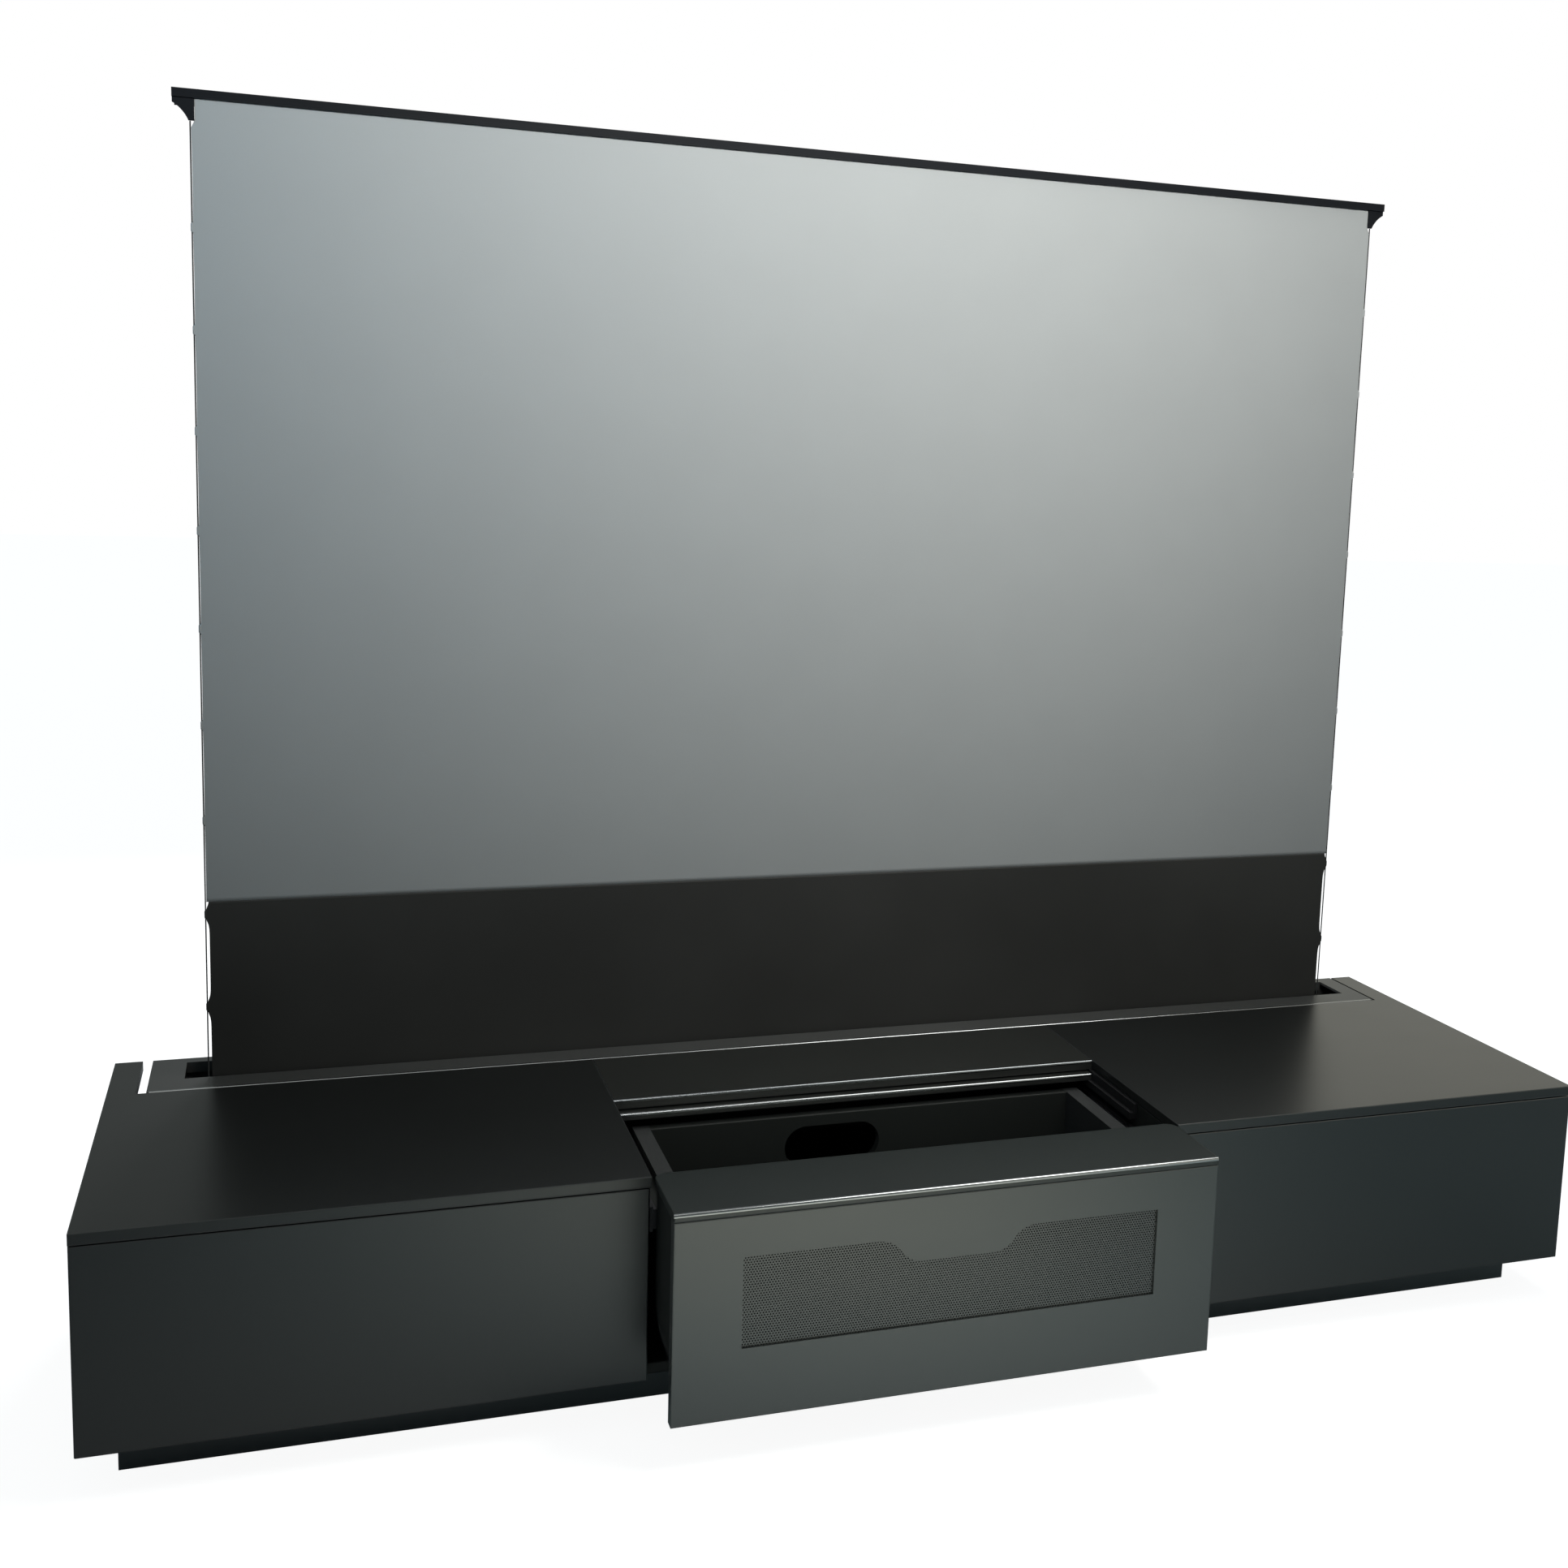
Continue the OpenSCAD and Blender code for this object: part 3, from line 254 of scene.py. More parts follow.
boxLook = {
    "colour": (0.043, 0.0450, 0.0455), "roughness": 0.42, "specular": 0.4, "relief": 0.5,
    "fleckScale": 420.0, "stretch": (1, 0.12, 1), "fleckSteps": (0.42, 0.62), "fleckTints": (0.9, 1.08),
    "fleckDepth": 0.00003,
    "cloudScale": 3.0, "cloudSteps": (0.3, 0.75), "cloudTint": 0.8, "cloud": 0.25, "cloudRoughness": 0.12}
drawerBoxLook = dict(boxLook, colour=(0.20, 0.21, 0.205), roughness=0.45)


def metal(name, look):
    # Drawn, rolled or ground metal: lines along one axis, with a slow change of tone and gloss.
    made, shader, pos = startFinish(name)
    lines = pos.noise(look["lineScale"], detail=3.0, stretch=look["stretch"])
    cloud = pos.noise(look["cloudScale"], detail=3.0)
    colour = lines.blendColours(*tintPair(look, "lineTints"))
    dull = cloud.ramp(*look["cloudSteps"]) * look["tarnish"]
    colour = dull.blendColours(colour, tint(look["colour"], look["tarnishTint"]))
    rough = lines.centred() * look["lineGloss"] + cloud * look["cloudRoughness"] + look["roughness"]
    setFinish(shader, {
        "Base Color": colour, "Metallic": look["metallic"], "Roughness": rough,
        "Normal": lines.bump(look["lineDepth"], look["relief"]), "Specular IOR Level": look["specular"]})
    return made


trimLook = {
    "colour": (0.34, 0.35, 0.36), "roughness": 0.10, "metallic": 1.0, "specular": 0.5, "relief": 0.4,
    "lineScale": 260.0, "stretch": (0.01, 1, 1), "lineTints": (0.86, 1.08), "lineGloss": 0.06,
    "lineDepth": 0.00001,
    "cloudScale": 9.0, "cloudSteps": (0.45, 0.8), "tarnishTint": 0.6, "tarnish": 0.15,
    "cloudRoughness": 0.06}
# The lid, housing and strip trims are the cap trim's polished aluminium at other greys: lit and shaded
# copies that paint each trim's reflection brighter or dimmer.
lidTrimShadedLook = dict(trimLook, colour=(0.31, 0.32, 0.33), roughness=0.16)
housingTrimLitLook = dict(trimLook, colour=(0.40, 0.41, 0.42), roughness=0.2)
stripTrimShadedLook = dict(trimLook, colour=(0.19, 0.20, 0.21), roughness=0.18)
rollerLook = dict(trimLook, colour=(0.62, 0.63, 0.64), roughness=0.30, lineGloss=0.15, tarnish=0.3)
armLook = dict(
    trimLook, colour=(0.055, 0.056, 0.060), roughness=0.38, metallic=0.75, lineScale=420.0,
    stretch=(1, 1, 0.02), lineGloss=0.2, lineDepth=0.00002)
barLook = dict(
    trimLook, colour=(0.008, 0.009, 0.011), roughness=0.55, metallic=0.0, specular=0.08, lineScale=380.0,
    stretch=(0.012, 1, 1), lineGloss=0.14)
pinLook = dict(trimLook, colour=(0.70, 0.71, 0.72), roughness=0.2, lineScale=900.0, stretch=(1, 0.05, 1))


def zinc(name, look):
    # Zinc plate: crystal flakes of differing tone, from the cells of a Voronoi pattern, under a dull film.
    made, shader, pos = startFinish(name)
    flake = pos.node("TexVoronoi", {}, {"Vector": pos, "Scale": look["flakeScale"]}, "Color").axis("X")
    film = pos.noise(look["filmScale"], detail=4.0)
    colour = flake.blendColours(*tintPair(look, "flakeTints"))
    dull = film.ramp(*look["filmSteps"]) * look["film"]
    colour = dull.blendColours(colour, tint(look["colour"], look["filmTint"]))
    rough = flake * look["flakeRoughness"] + film * look["filmRoughness"] + look["roughness"]
    setFinish(shader, {
        "Base Color": colour, "Metallic": look["metallic"], "Roughness": rough,
        "Normal": film.bump(look["filmDepth"], look["relief"])})
    return made


railLook = {
    "colour": (0.60, 0.62, 0.63), "roughness": 0.26, "metallic": 0.95, "relief": 0.3,
    "flakeScale": 260.0, "flakeTints": (0.85, 1.0), "flakeRoughness": 0.12,
    "filmScale": 14.0, "filmSteps": (0.5, 0.8), "filmTint": 0.62, "film": 0.3, "filmRoughness": 0.12,
    "filmDepth": 0.00004}
movingRailLook = dict(railLook, colour=(0.66, 0.67, 0.68), flakeScale=380.0, roughness=0.22)
centreRailLook = dict(railLook, colour=(0.085, 0.085, 0.092), roughness=0.4)
guideLook = dict(railLook, colour=(0.060, 0.060, 0.064), roughness=0.45)


def powderCoat(name, look):
    # Powder coat: rounded pimples a fraction of a millimetre across, in two sizes, with specks of dust.
    made, shader, pos = startFinish(name)
    fine = pos.noise(look["pimpleScale"], detail=1.0)
    coarse = pos.noise(look["pimpleScale"] * look["coarseScale"], detail=1.0)
    pimple = fine + coarse * look["coarseShare"]
    cloud = pos.noise(look["cloudScale"], detail=3.0)
    dust = pos.noise(look["dustScale"], detail=1.0).ramp(*look["dustSteps"])
    colour = cloud.blendColours(*tintPair(look, "cloudTints"))
    colour = (dust * look["dust"]).blendColours(colour, look["dustColour"])
    setFinish(shader, {
        "Base Color": colour, "Roughness": cloud * look["cloudRoughness"] + look["roughness"],
        "Normal": pimple.bump(look["pimpleDepth"], look["relief"]),
        "Specular IOR Level": look["specular"]})
    return made


housingLook = {
    "colour": (0.071, 0.0725, 0.0700), "roughness": 0.40, "specular": 0.45, "relief": 0.5,
    "pimpleScale": 900.0, "pimpleDepth": 0.00006, "coarseScale": 0.4, "coarseShare": 0.7,
    "cloudScale": 4.0, "cloudTints": (0.8, 1.2), "cloudRoughness": 0.10,
    "dustScale": 380.0, "dustSteps": (0.70, 0.78), "dustColour": (0.15, 0.15, 0.14), "dust": 0.15}
bracketLook = dict(housingLook, colour=(0.035, 0.035, 0.037), pimpleScale=700.0)
motorLook = dict(housingLook, colour=(0.26, 0.27, 0.28), roughness=0.35)
plasticLook = dict(
    housingLook, colour=(0.015, 0.015, 0.016), roughness=0.45, pimpleScale=1500.0, pimpleDepth=0.00004)


def screenCloth(name, look):
    # Light-rejecting cloth: fine level ribs on the face, over a faint cross weave, a soft mottle and pepper.
    made, shader, uv = startFinish(name, "UV")
    across, up = uv.axis("X"), uv.axis("Y")
    rib = (up * (2 * math.pi / look["ribPitch"])).sine()
    thread = (across * (2 * math.pi / look["threadPitch"])).sine()
    mottle = uv.noise(look["mottleScale"], detail=4.0)
    pepper = uv.noise(look["pepperScale"], detail=1.0)
    colour = mottle.ramp(*look["mottleSteps"]).blendColours(*tintPair(look, "mottleTints"))
    speck = pepper.ramp(*look["pepperSteps"]) * look["pepper"]
    colour = speck.blendColours(colour, tint(look["colour"], look["pepperTint"]))
    weave = rib * look["ribShare"] + thread * look["threadShare"]
    setFinish(shader, {
        "Base Color": colour, "Roughness": mottle * look["mottleRoughness"] + look["roughness"],
        "Normal": weave.bump(look["ribDepth"], look["relief"]), "Specular IOR Level": look["specular"]})
    return made


clothLook = {
    "colour": (0.355, 0.366, 0.362), "roughness": 0.62, "specular": 0.25, "relief": 0.4,
    "ribPitch": 0.0012, "ribDepth": 0.00004, "ribShare": 0.7, "threadPitch": 0.0011, "threadShare": 0.3,
    "mottleScale": 7.0, "mottleSteps": (0.25, 0.75), "mottleTints": (0.988, 1.012), "mottleRoughness": 0.06,
    "pepperScale": 2600.0, "pepperSteps": (0.4, 0.7), "pepperTint": 0.7, "pepper": 0.12}


def wovenCloth(name, look):
    # Black cloth: a twill, whose raised line climbs one thread for each thread across, with steeper finer
    # lines across it, slow clouds and specks of lint.
    made, shader, uv = startFinish(name, "UV")
    turn = 2 * math.pi / look["pitch"]
    twill = ((uv.axis("X") + uv.axis("Y")) * turn).sine()
    cross = ((uv.axis("X") - uv.axis("Y") * 0.5) * turn * 2).sine()
    lint = uv.noise(look["lintScale"], detail=2.0).ramp(*look["lintSteps"])
    cloud = uv.noise(look["cloudScale"], detail=3.0)
    colour = cloud.ramp(*look["cloudSteps"]).blendColours(*tintPair(look, "cloudTints"))
    colour = (lint * look["lint"]).blendColours(colour, look["lintColour"])
    weave = twill * look["twillShare"] + cross * look["crossShare"]
    setFinish(shader, {
        "Base Color": colour, "Roughness": cloud * look["cloudRoughness"] + look["roughness"],
        "Normal": weave.bump(look["depth"], look["relief"]), "Specular IOR Level": look["specular"]})
    return made


dropLook = {
    "colour": (0.0300, 0.0295, 0.0275), "roughness": 0.6, "specular": 0.3, "relief": 0.5,
    "pitch": 0.0016, "depth": 0.00006, "twillShare": 0.7, "crossShare": 0.3,
    "lintScale": 900.0, "lintSteps": (0.66, 0.76), "lintColour": (0.10, 0.10, 0.095), "lint": 0.12,
    "cloudScale": 2.2, "cloudSteps": (0.3, 0.7), "cloudTints": (0.85, 1.2), "cloudRoughness": 0.08}
backLook = dict(dropLook, colour=(0.022, 0.022, 0.021), pitch=0.0012)
braidLook = dict(dropLook, colour=(0.042, 0.043, 0.042), pitch=0.0018, depth=0.00012)


pairedNodes = ("outer_sides", "inner_sides", "side_bottom_boards", "side_back_panels", "projector_cheeks",
               "projector_box_sides", "runner_packers")


def cornersOf(name):
    # The corners of a node, or of its right-hand part where it holds a like pair.
    mesh = nodes[name].data
    points = np.empty(len(mesh.vertices) * 3)
    mesh.vertices.foreach_get("co", points)
    points = points.reshape(-1, 3)
    if name in pairedNodes:
        points = points[points[:, 0] > 0]
    return points.min(0).tolist(), points.max(0).tolist()


def dress(look, maker, *names):
    # Gives CAD nodes a finish. A lacquered board gets its own, because its eased edges follow its box; any
    # other finish is shared by the nodes of one call.
    shared = None
    for name in names:
        first, *rest = name.split("_")
        if maker is lacquer:
            ownName = first + "".join(word.title() for word in rest)
            finish = lacquer(ownName, look, *cornersOf(name), name in pairedNodes)
        else:
            shared = shared or maker(first + maker.__name__.title(), look)
            finish = shared
        mesh = nodes[name].data
        mesh.materials.clear()
        mesh.materials.append(finish)


dress(boardLook, lacquer, "left_drawer_front", "right_drawer_front", "outer_sides")
dress(plinthLook, lacquer, "plinth_frame")
dress(insideLook, lacquer, "inner_sides", "side_bottom_boards", "centre_bottom_board", "side_back_panels",
      "centre_back_panel", "projector_box_back", "projector_shelf", "runner_packers")
dress(cheekLook, lacquer, "projector_cheeks")
dress(topLook, lacquer, "left_top_board", "right_top_board")
dress(lidLook, lacquer, "centre_top_strip", "sliding_lid")
dress(frontLook, lacquer, "projector_front")
dress(capLook, lacquer, "projector_cap")
dress(boxLook, melamine, "projector_box_sides")
dress(drawerBoxLook, melamine, "left_drawer_box", "right_drawer_box")
dress(trimLook, metal, "cap_edge_trim")
dress(lidTrimShadedLook, metal, "lid_edge_trim")
dress(housingTrimLitLook, metal, "housing_edge_trim")
dress(stripTrimShadedLook, metal, "strip_edge_trim")
dress(railLook, zinc, "side_fixed_rails")
dress(centreRailLook, zinc, "centre_fixed_rails", "centre_moving_rails")
dress(guideLook, zinc, "lid_guides")
dress(movingRailLook, zinc, "left_moving_rails", "right_moving_rails")
dress(housingLook, powderCoat, "housing_case", "housing_front_strip", "housing_back_strip",
      "housing_end_caps")
dress(bracketLook, powderCoat, "roller_brackets", "arm_base_brackets", "bar_pivot_plates")
dress(movingRailLook, zinc, "bracket_bolts")
dress(rollerLook, metal, "roller_tube")
dress(armLook, metal, "left_lower_arm", "left_upper_arm", "right_lower_arm", "right_upper_arm")
dress(pinLook, metal, "left_elbow_pin", "right_elbow_pin", "bar_pivot_pins")
dress(barLook, metal, "top_bar", "bar_gussets")
dress(plasticLook, powderCoat, "control_box", "power_gland", "roller_drive_crown", "roller_idler")
dress(motorLook, powderCoat, "roller_motor")
print("finishes set on the CAD nodes")


def makePiece(name, points, faces, finishes, body, uv=None, faceFinish=None, smooth=True):
    # A mesh from arrays: points in metres, faces as rows of corner numbers, uv one pair for each point.
    # faceFinish and smooth may give one value for each face.
    mesh = bpy.data.meshes.new(name)
    faces = np.asarray(faces, np.int32)
    points = np.asarray(points, np.float32)
    mesh.vertices.add(len(points))
    mesh.vertices.foreach_set("co", points.ravel())
    mesh.loops.add(faces.size)
    mesh.loops.foreach_set("vertex_index", faces.ravel())
    mesh.polygons.add(len(faces))
    mesh.polygons.foreach_set("loop_start", np.arange(0, faces.size, faces.shape[1], dtype=np.int32))
    mesh.polygons.foreach_set("use_smooth", np.broadcast_to(smooth, len(faces)).copy())
    mesh.update(calc_edges=True)
    if uv is not None:
        layer = mesh.uv_layers.new(name="cut")
        layer.data.foreach_set("uv", np.asarray(uv, np.float32)[faces.ravel()].ravel())
    for finish in finishes:
        mesh.materials.append(finish)
    if faceFinish is not None:
        mesh.polygons.foreach_set("material_index", np.asarray(faceFinish, np.int32))
    mesh.validate()
    piece = bpy.data.objects.new(name, mesh)
    bpy.context.collection.objects.link(piece)
    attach(piece, body)
    return piece


def closeSeams(piece):
    # Joins the points that lie on each other, and turns the faces outwards.
    made = bmesh.new()
    made.from_mesh(piece.data)
    bmesh.ops.remove_doubles(made, verts=made.verts, dist=1e-6)
    bmesh.ops.recalc_face_normals(made, faces=made.faces)
    made.to_mesh(piece.data)
    made.free()


def gridPoints(*parts):
    # The points of a grid, row by row, from coordinates that may each change along one side of it only.
    return np.stack(np.broadcast_arrays(*parts), -1).reshape(-1, len(parts))


def gridFaces(rows, columns, closedRows=False, closedColumns=False, start=0):
    # Quads of a grid of points numbered row by row; a closed side joins its last line to its first.
    i, j = np.meshgrid(np.arange(rows if closedRows else rows - 1),
                       np.arange(columns if closedColumns else columns - 1), indexing="ij")
    nextI, nextJ = (i + 1) % rows, (j + 1) % columns
    quads = np.stack([i * columns + j, i * columns + nextJ,
                      nextI * columns + nextJ, nextI * columns + j], -1)
    return quads.reshape(-1, 4) + start


def ringsAt(*rings):
    # The points of upright rings, from pairs of a ring's (x, z) points and the depth y that it lies at.
    return np.concatenate([np.insert(ring, 1, y, axis=1) for ring, y in rings])


grilleLook = {"pitch": 0.0045, "hole": 0.0025, "thickness": 0.0012, "overlap": 0.003,
              "dipFlat": 0.057, "dipRun": 0.072, "dipDepth": 0.039, "width": 0.683, "height": 0.1435,
              "bottom": 0.1865, "rimSteps": 161, "rimDepths": (0.00002, 0.0002)}


def grilleTop(x, look):
    # Upper edge of the grille: level, with a dip in the middle whose sides are two arcs that meet in an S.
    # Each arc turns by twice the angle whose tangent is dipDepth / dipRun, so its radius is half of dipRun
    # over the sine of that turn.
    run, depth = look["dipRun"], look["dipDepth"]
    radius = run / (2 * math.sin(2 * math.atan(depth / run)))
    u = np.clip(abs(x) - look["dipFlat"], 0, run)
    low = radius - np.sqrt(radius ** 2 - np.minimum(u, run / 2) ** 2)
    high = depth - radius + np.sqrt(radius ** 2 - np.minimum(run - u, run / 2) ** 2)
    return look["bottom"] + look["height"] - depth + np.where(u < run / 2, low, high)


def grilleCells(front, back, look):
    # A honeycomb of cells, each a hexagonal ring round a hexagonal hole, on staggered rows.
    # A cell's outer corners lie at pitch / sqrt(3) from its middle and its hole's corners at hole / sqrt(3).
    pitch, over = look["pitch"], look["overlap"]
    rowPitch = pitch * math.sqrt(3) / 2
    bottom, side = look["bottom"] - over, look["width"] / 2 + over
    rows = np.arange(math.floor(bottom / rowPitch),
                     math.ceil((look["bottom"] + look["height"] + over) / rowPitch))
    columns = np.arange(-math.ceil(side / pitch), math.ceil(side / pitch) + 1)
    r, c = np.meshgrid(rows, columns, indexing="ij")
    x = ((c + (r % 2) / 2) * pitch).ravel()
    z = (r * rowPitch).ravel()
    keep = (abs(x) < side) & (z > bottom) & (z < grilleTop(x, look) + over)
    middles = gridPoints(x[keep], 0, z[keep])
    angle = np.radians(30 + 60 * np.arange(6))
    corners = np.stack([np.cos(angle), np.sin(angle)], -1)
    outline, hole = (corners * look[key] / math.sqrt(3) for key in ("pitch", "hole"))
    cell = ringsAt((outline, front), (hole, front), (hole, back), (outline, back))
    points = cell + middles[:, None]
    faces = gridFaces(4, 6, closedColumns=True) + (np.arange(len(middles)) * len(cell))[:, None, None]
    return points.reshape(-1, 3), faces.reshape(-1, 4), len(middles)


def grilleRim(back, low, high, look):
    # A plain rim behind the cells' ragged border, from the grille's outline to the plate's edge. Both run
    # along the top from left to right and back along the bottom, and lie at the two depths of the rim.
    steps, half = look["rimSteps"], look["width"] / 2
    x = np.linspace(-half, half, steps)
    across = np.concatenate([x, x[::-1]])
    outline = gridPoints(across, np.concatenate([grilleTop(x, look), np.full(steps, look["bottom"])]))
    edge = gridPoints(np.interp(across, [-half, half], [low[0], high[0]]),
                      np.repeat([high[2], low[2]], steps))
    near, far = (back + depth for depth in look["rimDepths"])
    points = ringsAt((outline, near), (edge, near), (edge, far), (outline, far))
    return points, gridFaces(4, 2 * steps, closedRows=True, closedColumns=True)


def makeGrille(look):
    # Perforated sheet: the honeycomb and its rim, as one plate.
    low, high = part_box("projector_grille")
    front, back = low[1], low[1] + look["thickness"]
    cells, cellFaces, holes = grilleCells(front, back, look)
    rim, rimFaces = grilleRim(back, low, high, look)
    piece = makePiece("grillePlate", np.concatenate([cells, rim]),
                      np.concatenate([cellFaces, rimFaces + len(cells)]),
                      [lacquer("grillePaint", grillePaintLook)], "projector_drawer",
                      smooth=False)
    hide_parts("projector_grille")
    print("grille:", holes, "holes")


makeGrille(grilleLook)


screenLook = {"middle": 0.006, "halfWidth": 1.107, "edge": 1.1124, "inset": 0.9994, "front": 0.3355,
              "thickness": 0.0006, "rollerZ": 0.300, "seamZ": 0.716, "topZ": 2.0577, "columns": 63,
              "gussetZ": 2.0115, "gussetFade": 0.008, "hollowFrom": 0.36,
              "billow": 0.0008, "billowFrom": 0.42, "billowRise": 1.6}
picturePanel = dict(screenLook, low=screenLook["seamZ"], high=screenLook["topZ"], rows=193,
                    scallop=0.0004, power=2)
dropPanel = dict(screenLook, low=screenLook["rollerZ"], high=screenLook["seamZ"], rows=141,
                 scallop=0.0042, power=10)
tabLook = {"first": 1.844, "pitch": 0.1643, "count": 9, "height": 0.015, "flare": 0.014, "footShare": 0.3,
           "width": 0.009, "corner": 0.0025, "skin": 0.0005, "skinPower": 8, "sleeve": 0.0022,
           "sleevePower": 6, "foldWidth": 0.0042, "foldShare": 0.7, "steps": 25, "across": 15}
cordLook = {"x": 1.1139, "y": 0.3367, "radius": 0.0012, "top": 2.0117, "steps": 41, "around": 12}
backing = wovenCloth("blackoutBacking", backLook)
dropCloth = wovenCloth("blackDropCloth", dropLook)
greyCloth = screenCloth("greyCloth", clothLook)


def lower(piece):
    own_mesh(piece)


def hollow(z, power):
    # 0 beside each tab's foot and 1 halfway between two tabs: 1 less the share of the way from the middle to
    # the foot, raised to power, so that a high power gives a level bottom.
    foot = (tabLook["height"] / 2 + tabLook["flare"] * tabLook["footShare"]) / tabLook["pitch"]
    part = abs((z - tabLook["first"]) / tabLook["pitch"] % 1 - 0.5) / (0.5 - foot)
    return 1 - np.minimum(part, 1) ** power


def makePanel(name, look, faceFinish):
    # A stretched cloth panel with a face and a back skin.
    # Above hollowFrom its side edges draw in between the tabs by scallop times the hollow, and over the
    # height gussetFade to halfWidth at the gussets. It billows forward by billow times a half wave each way.
    low, high, rows, columns = (look[key] for key in ("low", "high", "rows", "columns"))
    across = np.concatenate([[-1], np.linspace(-look["inset"], look["inset"], columns - 2), [1]])
    v, u = np.meshgrid(np.linspace(0, 1, rows), across, indexing="ij")
    z = low + (high - low) * v
    beside = np.clip((z - look["gussetZ"]) / look["gussetFade"] + 1, 0, 1)
    edge = look["edge"] - look["scallop"] * hollow(z, look["power"]) * (z > look["hollowFrom"])
    x = look["middle"] + u * (edge + (look["halfWidth"] - edge) * beside)
    wave = np.sin(math.pi * np.clip((z - look["billowFrom"]) / look["billowRise"], 0, 1))
    swell = look["billow"] * np.cos(u * math.pi / 2) * wave
    front = gridPoints(x, look["front"] - swell, z)
    back = front + [0, look["thickness"], 0]
    skins = np.concatenate([gridFaces(rows, columns), gridFaces(rows, columns, start=len(front))[:, ::-1]])
    ids = np.arange(rows * columns).reshape(rows, columns)
    border = np.concatenate([ids[0, :-1], ids[:-1, -1], ids[-1, :0:-1], ids[:0:-1, 0]])
    after = np.roll(border, -1)
    rim = np.stack([border, border + len(front), after + len(front), after], -1)
    onBack = np.repeat([0, 1, 1], [len(skins) // 2, len(skins) // 2, len(rim)])
    smooth = np.repeat([True, False], [len(skins), len(rim)])
    piece = makePiece(name, np.concatenate([front, back]), np.concatenate([skins, rim]),
                      [faceFinish, backing], "cabinet", np.tile(gridPoints(x, z), (2, 1)),
                      onBack, smooth)
    lower(piece)
    return piece


def tabLobe(look):
    # One lobe of doubled cloth that points to +X and is folded round the cord.
    # At x from the foot the half height is height / 2 + flare (1 - x / width)^2, rounded off at the outer
    # corners. The half thickness is the skin's, raised to the sleeve's by a half ellipse round the cord,
    # with a straight slope of foldWidth to each side of it, and it goes to 0 at the lobe's edges.
    steps, across = look["steps"], look["across"]
    share = (1 - np.cos(np.linspace(0, math.pi, steps))) / 2
    x = share[:, None] * look["width"] * np.ones(across)
    out = np.maximum(0, x - look["width"] + look["corner"])
    half = look["height"] / 2 + look["flare"] * (1 - x / look["width"]) ** 2
    half = half - look["corner"] + np.sqrt(np.maximum(look["corner"] ** 2 - out ** 2, 0))
    side = np.sin(np.linspace(-math.pi / 2, math.pi / 2, across))
    away = abs(x - (cordLook["x"] - screenLook["halfWidth"]))
    swell = np.sqrt(np.maximum(0, 1 - (away / look["sleeve"]) ** 2))
    swell = np.maximum(swell, np.clip(1 - away / look["foldWidth"], 0, 1) * look["foldShare"])
    swell = swell * (1 - abs(side) ** look["sleevePower"])
    thick = look["skin"] * (1 - abs(side) ** look["skinPower"]) + (look["sleeve"] - look["skin"]) * swell
    thick[[0, -1]] = 0
    back = gridPoints(x, thick, half * side)
    skin = gridFaces(steps, across)
    return np.concatenate([back * [1, -1, 1], back]), np.concatenate([skin[:, ::-1], skin + len(back)])


def makeTabs(look):
    # Sewn tabs: lobes of the cloth along both its side edges, black below the seam.
    lobe, quads = tabLobe(look)
    points, faces, dark = [], [], []
    for turn in (-1, 1):
        for i in range(look["count"]):
            z = look["first"] - i * look["pitch"]
            place = [screenLook["middle"] + turn * screenLook["halfWidth"], cordLook["y"], z]
            faces.append(quads[:, ::turn] + len(points) * len(lobe))
            points.append(lobe * [turn, 1, 1] + place)
            dark.append(np.full(len(quads), z < screenLook["seamZ"]))
    points = np.concatenate(points)
    piece = makePiece("cordTabs", points, np.concatenate(faces), [greyCloth, dropCloth], "cabinet",
                      points[:, [0, 2]], np.concatenate(dark))
    closeSeams(piece)
    lower(piece)
    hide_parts("edge_tabs")


def makeCords(look):
    # Tension cords: round tubes, straight from the roller up through the tabs to the gussets.
    # At height z and angle turn the point lies at radius times (cos turn, sin turn) from the cord's middle.
    steps, around, radius = look["steps"], look["around"], look["radius"]
    z = np.linspace(screenLook["rollerZ"], look["top"], steps)[:, None]
    turn = np.linspace(0, 2 * math.pi, around, endpoint=False)
    points, faces = [], []
    for n, side in enumerate((-1, 1)):
        middle = screenLook["middle"] + side * look["x"]
        points.append(gridPoints(middle + radius * np.cos(turn), look["y"] + radius * np.sin(turn), z))
        faces.append(gridFaces(steps, around, closedColumns=True, start=n * steps * around))
    piece = makePiece("tensionCordPair", np.concatenate(points), np.concatenate(faces),
                      [wovenCloth("braid", braidLook)], "cabinet",
                      np.tile(gridPoints(turn * radius, z), (2, 1)))
    lower(piece)
    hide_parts("tension_cords")


picture = makePanel("pictureCloth", picturePanel, greyCloth)
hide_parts("screen_fabric")
drop = makePanel("dropCloth", dropPanel, dropCloth)
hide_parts("black_drop")
print("screen: picture field and drop")
makeTabs(tabLook)
makeCords(cordLook)
print("tabs and cords")


wrapLook = {"radius": 0.0252, "inner": 0.02505, "centreY": 0.3102, "halfWidth": 1.107, "around": 96,
            "outerEnds": (-1, -0.5, 0, 0.5, 1), "innerEnds": (1, 0, -1)}


